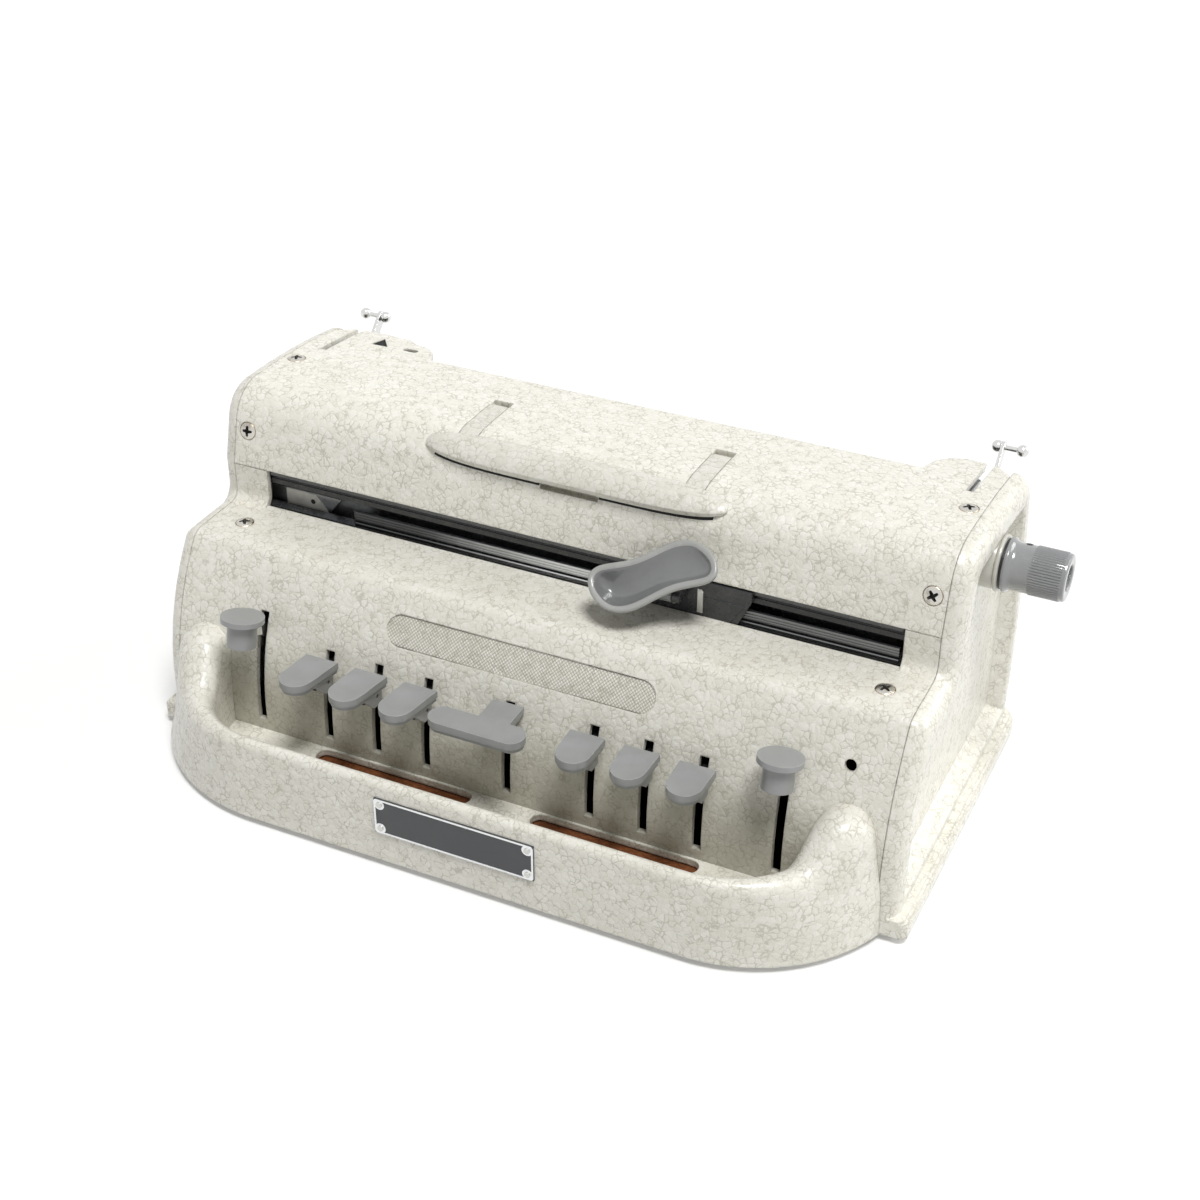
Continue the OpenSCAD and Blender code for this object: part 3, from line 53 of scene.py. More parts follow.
# Sizes of the machine that several pieces share, in millimetres
TOP_R = 406.0                      # radius of the cover's gently arched top
TOP_Z = 136.4                      # height of its highest line
CROWN_Y = 40.5                     # where the top goes over into the crown
CROWN_R = 17.2                     # radius of the crown, which leads to the cover's face
FACE_LEAN = math.radians(15)       # lean of the cover's face
ROLLER_Y, ROLLER_Z = 67.8, 112.5   # axis of the feed roller
SPOON_PIN = (10.6, 98.6)           # y and z of the carriage lever's pin
LINE_SPACE_X = -118.3              # middle of the left round key


def at(x, y, z):
    return (Vector((x, y, z)) + SHIFT) / 1000


# ------------------------------------------------------------------ materials
class Mat:
    """A material with short helpers for its nodes."""

    def __init__(self, name):
        self.mat = bpy.data.materials.new(name)
        self.mat.use_nodes = True
        self.tree = self.mat.node_tree
        self.tree.nodes.clear()
        self.out = self.new("ShaderNodeOutputMaterial")
        self.bsdf = self.new("ShaderNodeBsdfPrincipled")
        self.link(self.bsdf.outputs[0], self.out.inputs["Surface"])

    def new(self, kind, **values):
        node = self.tree.nodes.new(kind)
        for key, value in values.items():
            setattr(node, key, value)
        return node

    def link(self, a, b):
        self.tree.links.new(a, b)

    def put(self, socket, value):
        if isinstance(value, bpy.types.NodeSocket):
            self.link(value, socket)
        elif value is not None:
            socket.default_value = value

    def set(self, **values):
        names = {"color": "Base Color", "rough": "Roughness", "metal": "Metallic",
                 "coat": "Coat Weight", "coat_rough": "Coat Roughness",
                 "spec": "Specular IOR Level", "normal": "Normal"}
        for key, value in values.items():
            if key == "color" and not isinstance(value, bpy.types.NodeSocket):
                value = (*value, 1.0)
            self.put(self.bsdf.inputs[names[key]], value)

    def math(self, op, a, b=None, c=None, clamp=False):
        node = self.new("ShaderNodeMath", operation=op, use_clamp=clamp)
        for socket, value in zip(node.inputs, (a, b, c)):
            self.put(socket, value)
        return node.outputs[0]

    def coords(self, scale=(1, 1, 1)):
        tex = self.new("ShaderNodeTexCoord")
        mapping = self.new("ShaderNodeMapping")
        mapping.inputs["Scale"].default_value = scale
        self.link(tex.outputs["Object"], mapping.inputs["Vector"])
        return mapping.outputs[0]

    def noise(self, where, scale, detail=2.0, rough=0.5, out="Fac"):
        node = self.new("ShaderNodeTexNoise")
        self.link(where, node.inputs["Vector"])
        node.inputs["Scale"].default_value = scale
        node.inputs["Detail"].default_value = detail
        node.inputs["Roughness"].default_value = rough
        return node.outputs[out]

    def ramp(self, value, lo, hi, a=0.0, b=1.0, smooth=True):
        node = self.new("ShaderNodeMapRange")
        node.interpolation_type = "SMOOTHSTEP" if smooth else "LINEAR"
        self.put(node.inputs[0], value)
        for i, v in enumerate((lo, hi, a, b)):
            self.put(node.inputs[i + 1], v)
        return node.outputs[0]

    def mix(self, factor, a, b):
        node = self.new("ShaderNodeMix", data_type="RGBA")
        self.put(node.inputs["Factor"], factor)
        for socket, value in ((node.inputs[6], a), (node.inputs[7], b)):
            if not isinstance(value, bpy.types.NodeSocket):
                value = (*value, 1.0)
            self.put(socket, value)
        return node.outputs[2]

    def bump(self, height, depth, strength=1.0, normal=None):
        node = self.new("ShaderNodeBump")
        node.inputs["Strength"].default_value = strength
        node.inputs["Distance"].default_value = depth
        self.link(height, node.inputs["Height"])
        if normal is not None:
            self.link(normal, node.inputs["Normal"])
        return node.outputs[0]

    def edge(self, radius):
        node = self.new("ShaderNodeBevel", samples=4)
        node.inputs["Radius"].default_value = radius
        return node.outputs[0]


def srgb(r, g, b):
    """Colour as seen on a screen, 0 to 1, to the linear values that the nodes take."""
    return tuple(c / 12.92 if c <= 0.04045 else ((c + 0.055) / 1.055) ** 2.4 for c in (r, g, b))


def warped(m, where, scale, amount):
    """Coordinates pushed about by noise, so that cells get uneven outlines."""
    wobble = m.noise(where, scale, 2.0, 0.5, "Color")
    centred = m.new("ShaderNodeVectorMath", operation="SUBTRACT")
    m.link(wobble, centred.inputs[0])
    centred.inputs[1].default_value = (0.5, 0.5, 0.5)
    pushed = m.new("ShaderNodeVectorMath", operation="MULTIPLY_ADD")
    m.link(centred.outputs[0], pushed.inputs[0])
    pushed.inputs[1].default_value = (amount,) * 3
    m.link(where, pushed.inputs[2])
    return pushed.outputs[0]


def cells(m, where, scale, feature="DISTANCE_TO_EDGE"):
    node = m.new("ShaderNodeTexVoronoi", feature=feature)
    m.link(where, node.inputs["Vector"])
    node.inputs["Scale"].default_value = scale
    node.inputs["Randomness"].default_value = 1.0
    return node


# The cross-hatched ground, in metres: used by its mesh and by the pigment in its grooves
HATCH_PITCH = 0.00155
HATCH_SLOPE = 0.9
HATCH_STRETCH = 1.13               # height to length along the leaning panel


def hammered_paint(name, wear_and_highlight=0.0, hatch=None, tone=1.0, painted_shade=0.0):
    """Stoved hammer enamel: pebbly silver-grey cells about 3 mm wide, with thin, broken,
    brownish veins between them where the pigment gathers."""
    m = Mat(name)
    where = m.coords()
    wavy = warped(m, warped(m, where, 330.0, 0.0020), 900.0, 0.0011)
    large = cells(m, wavy, 345.0).outputs["Distance"]
    small = cells(m, wavy, 640.0).outputs["Distance"]
    tone_of = cells(m, wavy, 345.0, "F1").outputs["Color"]
    patch = m.noise(where, 42.0, 3.0, 0.55)
    broken = m.noise(where, 210.0, 2.0, 0.6)
    width = m.ramp(broken, 0.3, 0.7, 0.05, 0.15)
    vein = m.math("SUBTRACT", 1.0, m.ramp(large, 0.0, width))
    thin = m.math("SUBTRACT", 1.0, m.ramp(small, 0.0, 0.10))
    thin = m.math("MULTIPLY", thin, m.ramp(patch, 0.40, 0.62, 0.05, 0.55))
    vein = m.math("MULTIPLY", m.math("MAXIMUM", vein, thin), m.ramp(broken, 0.32, 0.62, 0.12, 1.0))
    level = m.new("ShaderNodeSeparateColor")
    m.link(tone_of, level.inputs[0])
    body = m.mix(m.ramp(level.outputs[0], 0.0, 1.0, smooth=False),
                 srgb(0.866 * tone, 0.856 * tone, 0.812 * tone),
                 srgb(0.906 * tone, 0.899 * tone, 0.866 * tone))
    body = m.mix(m.ramp(patch, 0.35, 0.75, 0.0, 0.30), body,
                 srgb(0.850 * tone, 0.837 * tone, 0.786 * tone))
    grain = m.noise(where, 1500.0, 3.0, 0.65)
    body = m.mix(m.ramp(grain, 0.40, 0.62, 0.0, 0.28), body, srgb(0.800, 0.788, 0.735))
    color = m.mix(m.math("MULTIPLY", vein, 0.60), body, srgb(0.640, 0.622, 0.560))
    if wear_and_highlight:
        dirt = m.ramp(m.noise(where, 14.0, 4.0, 0.6), 0.55, 0.8, 0.0, wear_and_highlight)
        color = m.mix(dirt, color, srgb(0.70, 0.67, 0.58))
    if painted_shade:
        # painted shade: the low part behind the keys is made darker, for the shade that falls
        # there
        split = m.new("ShaderNodeSeparateXYZ")
        m.link(where, split.inputs[0])
        low = m.math("MULTIPLY_ADD", m.noise(where, 26.0, 3.0, 0.6), 0.012, split.outputs["Z"])
        color = m.mix(m.ramp(low, 0.026, 0.062, painted_shade, 0.0), color, srgb(0.47, 0.45, 0.37))
    dome = m.ramp(large, 0.0, 0.42)
    height = m.math("MULTIPLY_ADD", grain, 0.14, dome)
    height = m.math("MULTIPLY_ADD", m.noise(wavy, 520.0, 2.0, 0.5), 0.45, height)
    if hatch:
        # pigment that stays in the grooves of the cross-hatched ground
        color = m.mix(m.math("MULTIPLY", grooves(m, hatch), 0.75), color, srgb(0.52, 0.50, 0.44))
    m.set(color=color, rough=m.ramp(vein, 0.0, 1.0, 0.38, 0.58, False), metal=0.0,
          normal=m.bump(height, 0.00016, 0.60, m.edge(0.0009)))
    m.set(spec=0.5, coat=0.35, coat_rough=0.16)
    return m.mat


def grooves(m, pitch):
    """1 in the middle of a groove, 0 on the ridges, for two sets of slanting lines."""
    split = m.new("ShaderNodeSeparateXYZ")
    m.link(m.coords(), split.inputs[0])
    along = split.outputs["X"]
    up = m.math("MULTIPLY", split.outputs["Z"], HATCH_STRETCH)
    lines = []
    for way in (HATCH_SLOPE, -HATCH_SLOPE):
        across = m.math("MULTIPLY_ADD", up, way, along)
        lines.append(m.math("PINGPONG", across, pitch / 2))
    near = m.math("MINIMUM", lines[0], lines[1])
    return m.ramp(near, 0.0, pitch * 0.24, 1.0, 0.0)


def plastic(name, color, rough, mottled=0.018, edge=0.0003, coat=0.0, pale=None):
    """Moulded plastic: faint flow marks in tone and gloss, fine scuffs, softly rounded edges, and,
    when pale is given, a painted highlight that makes those edges paler.
    """
    m = Mat(name)
    where = m.coords()
    flow = m.noise(warped(m, where, 60.0, 0.01), 90.0, 4.0, 0.6)
    lighter = tuple(min(1.0, c * (1 + 2.2 * mottled)) for c in color)
    darker = tuple(c * (1 - 2.2 * mottled) for c in color)
    tone = m.mix(m.ramp(flow, 0.35, 0.65), darker, lighter)
    if pale is not None:
        # painted highlight: the rounded edges are made paler, from how far the rounded normal
        # turns off the face
        turn = m.new("ShaderNodeVectorMath", operation="DOT_PRODUCT")
        geometry = m.new("ShaderNodeNewGeometry")
        m.link(geometry.outputs["Normal"], turn.inputs[0])
        m.link(m.edge(edge * 1.6), turn.inputs[1])
        wear_and_highlight = m.ramp(turn.outputs["Value"], 0.995, 0.80, 0.0, 0.75)
        tone = m.mix(wear_and_highlight, tone, pale)
    scuff = m.noise(m.coords((1.0, 3.0, 1.0)), 700.0, 3.0, 0.7)
    m.set(color=tone, rough=m.ramp(flow, 0.3, 0.7, rough - 0.05, rough + 0.07, False),
          spec=0.5, coat=coat, coat_rough=0.08,
          normal=m.bump(scuff, 0.00003, 0.5, m.edge(edge)))
    return m.mat


def enamel(name, color, rough, dust=0.0, edge=0.0003):
    """Dip-enamelled steel, nearly black, with dust lying on it in patches."""
    m = Mat(name)
    where = m.coords()
    spots = m.noise(where, 220.0, 4.0, 0.65)
    tone = m.mix(m.ramp(spots, 0.45, 0.8, 0.0, dust), color, srgb(0.42, 0.40, 0.37))
    m.set(color=tone, rough=m.ramp(spots, 0.3, 0.7, rough - 0.06, rough + 0.08, False), spec=0.5,
          normal=m.bump(m.noise(where, 900.0, 2.0), 0.00003, 0.6, m.edge(edge)))
    return m.mat


def metal(name, color, rough, stretch=(1, 1, 1), stain=0.1, edge=0.0003):
    """Plated or bare steel: drawn lines along the stretch, thin stains."""
    m = Mat(name)
    where = m.coords()
    lines = m.noise(m.coords(stretch), 900.0, 3.0, 0.6)
    spots = m.ramp(m.noise(where, 130.0, 4.0, 0.65), 0.5, 0.75, 0.0, stain)
    tone = m.mix(spots, color, srgb(0.45, 0.38, 0.30))
    m.set(color=tone, metal=1.0, rough=m.ramp(lines, 0.3, 0.7, rough * 0.75, rough * 1.35, False),
          normal=m.bump(lines, 0.00002, 0.5, m.edge(edge)))
    return m.mat


def steel_with_painted_light(name):
    """Rail steel with painted light: dark at its left end as painted shade, bright from there to
    the middle as a painted reflection, dimmer again towards its right end."""
    m = Mat(name)
    split = m.new("ShaderNodeSeparateXYZ")
    m.link(m.coords(), split.inputs[0])
    lines = m.noise(m.coords((1, 14, 14)), 900.0, 3.0, 0.6)
    reach = m.math("MULTIPLY_ADD", m.noise(m.coords(), 60.0, 3.0, 0.6), 0.03, split.outputs["X"])
    # painted shade and painted reflection along the rail's length
    bright = m.ramp(reach, -0.075, 0.012)
    bright = m.math("MULTIPLY", bright, m.ramp(reach, 0.040, 0.075, 1.0, 0.22))
    tone = m.mix(bright, srgb(0.34, 0.345, 0.35), srgb(0.84, 0.845, 0.85))
    m.set(color=tone, metal=1.0, rough=m.ramp(lines, 0.3, 0.7, 0.24, 0.40, False),
          normal=m.bump(lines, 0.00002, 0.5, m.edge(0.0003)))
    return m.mat


def board(name, top_painted_shade=False):
    """Hardboard: pressed fibre, brown, matt, darker flecks. Its upper face may be painted dark, as
    the shade inside the machine.
    """
    m = Mat(name)
    fibre = m.noise(m.coords((1.0, 2.2, 1.0)), 420.0, 5.0, 0.7)
    blot = m.noise(m.coords(), 30.0, 3.0, 0.6)
    tone = m.mix(m.ramp(fibre, 0.3, 0.7), srgb(0.38, 0.21, 0.12), srgb(0.56, 0.35, 0.20))
    tone = m.mix(m.ramp(blot, 0.4, 0.7, 0.0, 0.5), tone, srgb(0.24, 0.135, 0.08))
    if top_painted_shade:
        # painted shade: faces that look up are made nearly black
        split = m.new("ShaderNodeSeparateXYZ")
        m.link(m.new("ShaderNodeNewGeometry").outputs["Normal"], split.inputs[0])
        tone = m.mix(m.ramp(split.outputs["Z"], 0.4, 0.9), tone, srgb(0.10, 0.09, 0.08))
    m.set(color=tone, rough=0.8, spec=0.25, normal=m.bump(fibre, 0.0001, 0.7))
    return m.mat


def rubber(name, color):
    """Moulded rubber with a fine sandy skin and pale bloom."""
    m = Mat(name)
    where = m.coords()
    bloom = m.ramp(m.noise(where, 60.0, 4.0, 0.6), 0.4, 0.8, 0.0, 0.25)
    tone = m.mix(bloom, color, srgb(0.30, 0.30, 0.30))
    m.set(color=tone, rough=0.75, spec=0.3,
          normal=m.bump(m.noise(where, 1800.0, 2.0, 0.6), 0.00005, 0.8, m.edge(0.0006)))
    return m.mat


paint = hammered_paint("hammered_paint")
paint_base = hammered_paint("hammered_paint_base", wear_and_highlight=0.22)
# the front panel's copy takes painted shade on its low part behind the keys
paint_front = hammered_paint("hammered_paint_front", painted_shade=0.42)
# the cover's copy is 3 % paler: painted light for its lit top and face
paint_cover_lit = hammered_paint("hammered_paint_cover_lit", tone=1.03)
paint_handle = hammered_paint("hammered_paint_handle", tone=0.955)
paint_hatched = hammered_paint("hammered_paint_hatched", hatch=HATCH_PITCH)
# the keys' pale edges are a painted highlight
key_grey = plastic("key_plastic", srgb(0.560, 0.564, 0.562), 0.34, coat=0.25,
                   pale=srgb(0.74, 0.74, 0.73))
# the scoop's body is a darker grey, painted shade for its bowl, and its rim a paler copy, painted
# highlight
spoon_grey = plastic("spoon_plastic", srgb(0.455, 0.460, 0.458), 0.17, edge=0.0004, coat=0.5)
spoon_rim_highlight = plastic("spoon_rim_painted_highlight", srgb(0.615, 0.618, 0.605), 0.25, edge=0.0004, coat=0.3)
knob_grey = plastic("knob_plastic", srgb(0.535, 0.540, 0.543), 0.20, edge=0.00015, coat=0.7)
collar_grey = plastic("collar_plastic", srgb(0.735, 0.730, 0.695), 0.28, edge=0.0003, coat=0.3)
black = enamel("black_enamel", srgb(0.085, 0.088, 0.095), 0.42, dust=0.35)
rail_black = enamel("rail_enamel", srgb(0.20, 0.205, 0.215), 0.26, dust=0.25)
plate_dark = enamel("plate_black", srgb(0.265, 0.27, 0.28), 0.40)
chrome = metal("bright_steel", srgb(0.86, 0.86, 0.855), 0.16, stain=0.12)
steel = metal("plated_steel", srgb(0.70, 0.71, 0.72), 0.30, (1, 12, 12), stain=0.25)
rim_metal = metal("nameplate_metal", srgb(0.90, 0.905, 0.91), 0.30, stain=0.05)
brass = metal("bell_brass", srgb(0.78, 0.65, 0.36), 0.28)
screw_steel = metal("screw_steel", srgb(0.80, 0.79, 0.76), 0.26, stain=0.55)
screw_edge = metal("screw_edge", srgb(0.66, 0.56, 0.43), 0.35, stain=0.5)
strip_steel = steel_with_painted_light("strip_steel")
# grey rather than black: painted highlight for the lip in the cover's shade
lip_painted_highlight = plastic("lip_painted_highlight", srgb(0.27, 0.275, 0.28), 0.25, coat=0.5)
# pale and not metal: painted light, to brighten the frame tab in the slot's shade; the line space
# bracket shares it
zinc_painted_light = plastic("zinc_plate_painted_light", srgb(0.90, 0.895, 0.865), 0.38, mottled=0.06, coat=0.2)
# black, painted shade: the strip under the handle's bar and the blocks in the tab's holes
shade_black = rubber("painted_shade_black", srgb(0.11, 0.11, 0.11))
silver = metal("bracket_steel", srgb(0.80, 0.80, 0.785), 0.34, (12, 1, 1), stain=0.35)
# nearly black, painted shade in the screws' cross recesses, the frame tab's hole and the knob's
# set screw hole
hole_shade_dark = enamel("painted_recess_shade", srgb(0.10, 0.09, 0.08), 0.6, dust=0.3)
board_mat = board("hardboard")
board_top_shaded = board("hardboard_top_shaded", top_painted_shade=True)
foot_mat = rubber("foot_rubber", srgb(0.12, 0.12, 0.12))
roller_mat = rubber("roller_rubber", srgb(0.15, 0.15, 0.15))


# ------------------------------------------------------------------ CAD nodes that stay
def soften_group():
    """Joins the mesh at its seams and shades it smooth except over sharp edges."""
    g = bpy.data.node_groups.new("soften", "GeometryNodeTree")
    g.interface.new_socket("Geometry", in_out="INPUT", socket_type="NodeSocketGeometry")
    g.interface.new_socket("Geometry", in_out="OUTPUT", socket_type="NodeSocketGeometry")
    gin, gout = g.nodes.new("NodeGroupInput"), g.nodes.new("NodeGroupOutput")
    merge = g.nodes.new("GeometryNodeMergeByDistance")
    merge.inputs["Distance"].default_value = 2e-6
    faces = g.nodes.new("GeometryNodeSetShadeSmooth")
    edges = g.nodes.new("GeometryNodeSetShadeSmooth")
    edges.domain = "EDGE"
    edges.inputs["Shade Smooth"].default_value = False
    turn = g.nodes.new("GeometryNodeInputMeshEdgeAngle")
    sharp = g.nodes.new("FunctionNodeCompare")
    sharp.data_type, sharp.operation = "FLOAT", "GREATER_THAN"
    sharp.inputs[1].default_value = math.radians(32)
    for a, b in ((gin.outputs[0], merge.inputs[0]), (merge.outputs[0], faces.inputs[0]),
                 (faces.outputs[0], edges.inputs[0]), (edges.outputs[0], gout.inputs[0]),
                 (turn.outputs[0], sharp.inputs[0])):
        g.links.new(a, b)
    g.links.new(sharp.outputs[0], edges.inputs["Selection"])
    return g


SOFTEN = soften_group()


def dress(material, *names):
    """Gives the solids their material and the soften modifier."""
    for name in names:
        obj = nodes[name]
        obj.data.materials.clear()
        obj.data.materials.append(material)
        for poly in obj.data.polygons:
            poly.material_index = 0
        modifier = obj.modifiers.new("soften", "NODES")
        modifier.node_group = SOFTEN


dots = range(1, 7)
dress(paint, "left_side_panel", "right_side_panel", "rear_panel")
dress(paint_front, "front_panel")
dress(paint_cover_lit, "top_cover")
dress(paint_handle, "carrying_handle")
dress(paint_base, "base_tray")
dress(board_top_shaded, "bottom_board")
dress(foot_mat, "rubber_feet")
dress(chrome, "casing_screws", "left_release_lever", "right_release_lever")
dress(silver, "nameplate_rivets")
dress(plate_dark, "nameplate")
dress(steel, "left_frame_plate", "right_frame_plate", "key_lever_shaft", "carriage_rod",
      "escapement_rack", "ratchet_wheel", "stylus_block", "margin_rack", "left_margin_stop",
      "right_margin_stop", "key_springs", *[f"dot_{i}_bar" for i in dots])
dress(rail_black, "upper_rail", "lower_rail", "carriage_body")
dress(black, "mainspring_drum", "paper_table", "reading_rest", "space_lever",
      "line_space_lever", "backspace_lever", *[f"dot_{i}_lever" for i in dots])
dress(brass, "bell")
dress(roller_mat, "feed_roller")
dress(collar_grey, "knob_collar")
KEYCAPS = ["spacebar", "line_space_keycap", "backspace_keycap", *[f"dot_{i}_keycap" for i in dots]]
dress(key_grey, *KEYCAPS)
for cap in KEYCAPS:
    rounding = nodes[cap].modifiers.new("rounding", "BEVEL")
    rounding.width, rounding.segments = 0.00055, 2
    rounding.limit_method, rounding.angle_limit = "ANGLE", math.radians(38)
dress(spoon_grey, "head_lever")
dress(knob_grey, "paper_knob")


# ------------------------------------------------------------------ finer pieces
def piece(name, bm, materials, body, replaces=(), smooth=32):
    """Makes a mesh piece from bm, given in the machine's own millimetres."""
    bmesh.ops.remove_doubles(bm, verts=bm.verts, dist=1e-4)
    bmesh.ops.recalc_face_normals(bm, faces=bm.faces)
    for vert in bm.verts:
        vert.co = at(*vert.co)
    limit = math.radians(smooth)
    for face in bm.faces:
        face.smooth = True
    for edge in bm.edges:
        edge.smooth = len(edge.link_faces) == 2 and edge.calc_face_angle(0) < limit
    mesh = bpy.data.meshes.new(name)
    bm.to_mesh(mesh)
    bm.free()
    obj = bpy.data.objects.new(name, mesh)
    bpy.context.scene.collection.objects.link(obj)
    for material in materials:
        mesh.materials.append(material)
    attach(obj, body)
    if replaces:
        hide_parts(*replaces)
    return obj


def ring_faces(bm, a, b, index=0):
    """Faces between two equal closed rows of vertices."""
    for i in range(len(a)):
        j = (i + 1) % len(a)
        bm.faces.new((a[i], a[j], b[j], b[i])).material_index = index


def polar(r, n):
    """n points of a circle of radius r."""
    return [(r * math.cos(2 * math.pi * i / n), r * math.sin(2 * math.pi * i / n))
            for i in range(n)]


def frame_at(origin, normal, along=(1, 0, 0)):
    """A turn and shift that puts a tool's +Z on normal, its +X near along."""
    z = Vector(normal).normalized()
    x = (Vector(along) - z * z.dot(Vector(along))).normalized()
    turn = Matrix((x, z.cross(x), z)).transposed().to_4x4()
    return Matrix.Translation(Vector(origin)) @ turn


def add_screw(bm, place, r=3.95, crown=0.9, turn=0.3):
    """Domed head with a cross recess. Material 0 is the head, 1 the recess, 2 the rim."""
    def height(d):
        return crown * (1 - (d / r) ** 2) - 0.1

    def ring(points, z=None):
        return [bm.verts.new(place @ Vector((x, y, height(math.hypot(x, y)) if z is None else z)))
                for x, y in points]
    n = 48
    skirt_z, rim_z, recess_z = -1.1, -0.30, -1.0
    skirt = ring(polar(r, n), skirt_z)
    rim = ring(polar(r, n), rim_z)
    edge = ring(polar(r - 0.22, n))
    mid = ring(polar(r * 0.86, n))
    inner = ring(polar(r * 0.72, n))
    for a, b in ((skirt, rim), (rim, edge)):
        ring_faces(bm, a, b, 2)
    for a, b in ((edge, mid), (mid, inner)):
        ring_faces(bm, a, b)
    arm, half, corner = 2.35, 0.48, 0.85
    star = []
    for k in range(4):
        c, s = math.cos(turn + k * math.pi / 2), math.sin(turn + k * math.pi / 2)
        for x, y in ((arm, -half), (arm, half), (corner, corner * 0.72)):
            star.append((x * c - y * s, x * s + y * c))
    top = ring(star)
    deep = ring([(x * 0.45, y * 0.45) for x, y in star], recess_z)
    mouth = [bm.edges.new((a, b)) for a, b in zip(top, top[1:] + top[:1])]
    within = set(inner)
    around = [e for e in bm.edges if e.verts[0] in within and e.verts[1] in within]
    made = bmesh.ops.triangle_fill(bm, edges=mouth + around, use_beauty=True)
    for face in [g for g in made["geom"] if isinstance(g, bmesh.types.BMFace)]:
        face.material_index = 0
    # the recess takes material 1, dark, as painted shade
    ring_faces(bm, top, deep, 1)
    bm.faces.new(deep).material_index = 1


def cover_top(y):
    """Height of the cover's top at y."""
    return TOP_Z - TOP_R + math.sqrt(TOP_R ** 2 - (y - CROWN_Y) ** 2)


def casing_screws():
    """Heads of the six screws: two on the cover's top, two on its face, two on the ledge."""
    bm = bmesh.new()
    cover_x, top_y, face_z = 153.9, 64, 119.1
    ledge_x, ledge_y, ledge_z = 144.8, 1.4, 87.0
    out = (0, -math.cos(FACE_LEAN), math.sin(FACE_LEAN))
    a = math.pi - FACE_LEAN
    face_y = CROWN_Y + (CROWN_R - (face_z - (TOP_Z - CROWN_R)) * math.sin(a)) / math.cos(a)
    for side in (-1, 1):
        add_screw(bm, frame_at((side * cover_x, top_y, cover_top(top_y)),
                               (0, (top_y - CROWN_Y) / TOP_R, 1)), turn=0.5)
        add_screw(bm, frame_at((side * cover_x, face_y, face_z), out), turn=0.35 + side * 0.3)
        add_screw(bm, frame_at((side * ledge_x, ledge_y, ledge_z), (0, 0, 1)),
                  turn=0.8 + side * 0.2)
    piece("casing_screw_heads", bm, (screw_steel, hole_shade_dark, screw_edge), "casing",
          ("casing_screws",))


def solid_between(bm, outline_a, outline_b, index=0):
    """Closed body between two equal outlines given as lists of 3-D points."""
    a = [bm.verts.new(p) for p in outline_a]
    b = [bm.verts.new(p) for p in outline_b]
    ring_faces(bm, a, b, index)
    bm.faces.new(a[::-1]).material_index = index
    bm.faces.new(b).material_index = index


def four_corners(quarter):
    """The points of the upper right corner, counter-clockwise, set round all four corners."""
    out = []
    for sx, sz in ((1, 1), (-1, 1), (-1, -1), (1, -1)):
        turned = [(sx * x, sz * z) for x, z in quarter]
        out += turned if sx * sz > 0 else turned[::-1]
    return out


def nameplate_border():
    """Bright raised border with a round notch about each rivet."""
    half, high, mid_z, y0 = 35.5, 8.5, 23.5, -80.8
    steps = 9
    corner, corner_r = 1.4, 1.35
    rivet, notch, off = 2.6, 2.35, 1.75
    quarter = [math.radians(90 * k / (steps - 1)) for k in range(steps)]
    outer = four_corners([(half - corner + corner_r * math.cos(a),
                           high - corner + corner_r * math.sin(a)) for a in quarter])
    a0 = math.degrees(math.atan2(-math.sqrt(notch ** 2 - off ** 2), off))
    sweep = [math.radians(a0 - (2 * (135 + a0)) * k / (steps - 1)) for k in range(steps)]
    inner = four_corners([(half - rivet + notch * math.cos(a),
                           high - rivet + notch * math.sin(a)) for a in sweep])
    bm = bmesh.new()
    rows = [[bm.verts.new((x, y, mid_z + z)) for x, z in pts]
            for pts, y in ((outer, y0 + 0.02), (outer, y0 - 0.2), (inner, y0 - 0.2),
                           (inner, y0 + 0.02))]
    for a, b in zip(rows, rows[1:]):
        ring_faces(bm, a, b)
    piece("nameplate_border", bm, (rim_metal,), "casing", smooth=25)


def emblem_ground():
    """Cross-hatched floor of the long recess, as real pyramids between the grooves."""
    bm = bmesh.new()
    cy, cz, lean_r = 74.0, 20.0, 110.0
    r0 = lean_r - 0.8
    z_low, z_high, half_x = 65.3, 77.4, 60.5
    a_mid = math.asin(((z_low + z_high) / 2 - cz) / lean_r)
    rr = (z_high - z_low) / 2 / math.cos(a_mid) - 0.05
    straight = half_x - rr
    step, rise = 0.31, 0.30
    p = HATCH_PITCH * 1000

    def tri(v):
        """Distance from v to the nearest groove."""
        f = abs((v / (p / 2)) % 2.0)
        return (f if f <= 1 else 2 - f) * p / 2

    def vertex(x, v):
        a = a_mid + v / lean_r
        z = cz + lean_r * math.sin(a)
        where = at(x, 0, z)
        up = where.z * 1000 * HATCH_STRETCH
        low = min(tri(where.x * 1000 + up * HATCH_SLOPE), tri(where.x * 1000 - up * HATCH_SLOPE))
        r = r0 + 0.02 + rise * min(1.0, low / (p * 0.30))
        return bm.verts.new((x, cy - r * math.cos(a), cz + r * math.sin(a)))
    rows = []
    n = int(2 * rr / step)
    for j in range(n + 1):
        v = -rr + 2 * rr * j / n
        reach = straight + math.sqrt(max(rr * rr - v * v, 0.0))
        count = int(2 * half_x / step)
        rows.append([vertex(-reach + 2 * reach * i / count, v) for i in range(count + 1)])
    for a, b in zip(rows, rows[1:]):
        for i in range(len(a) - 1):
            bm.faces.new((a[i], a[i + 1], b[i + 1], b[i]))
    piece("emblem_ground", bm, (paint_hatched,), "casing", smooth=60)


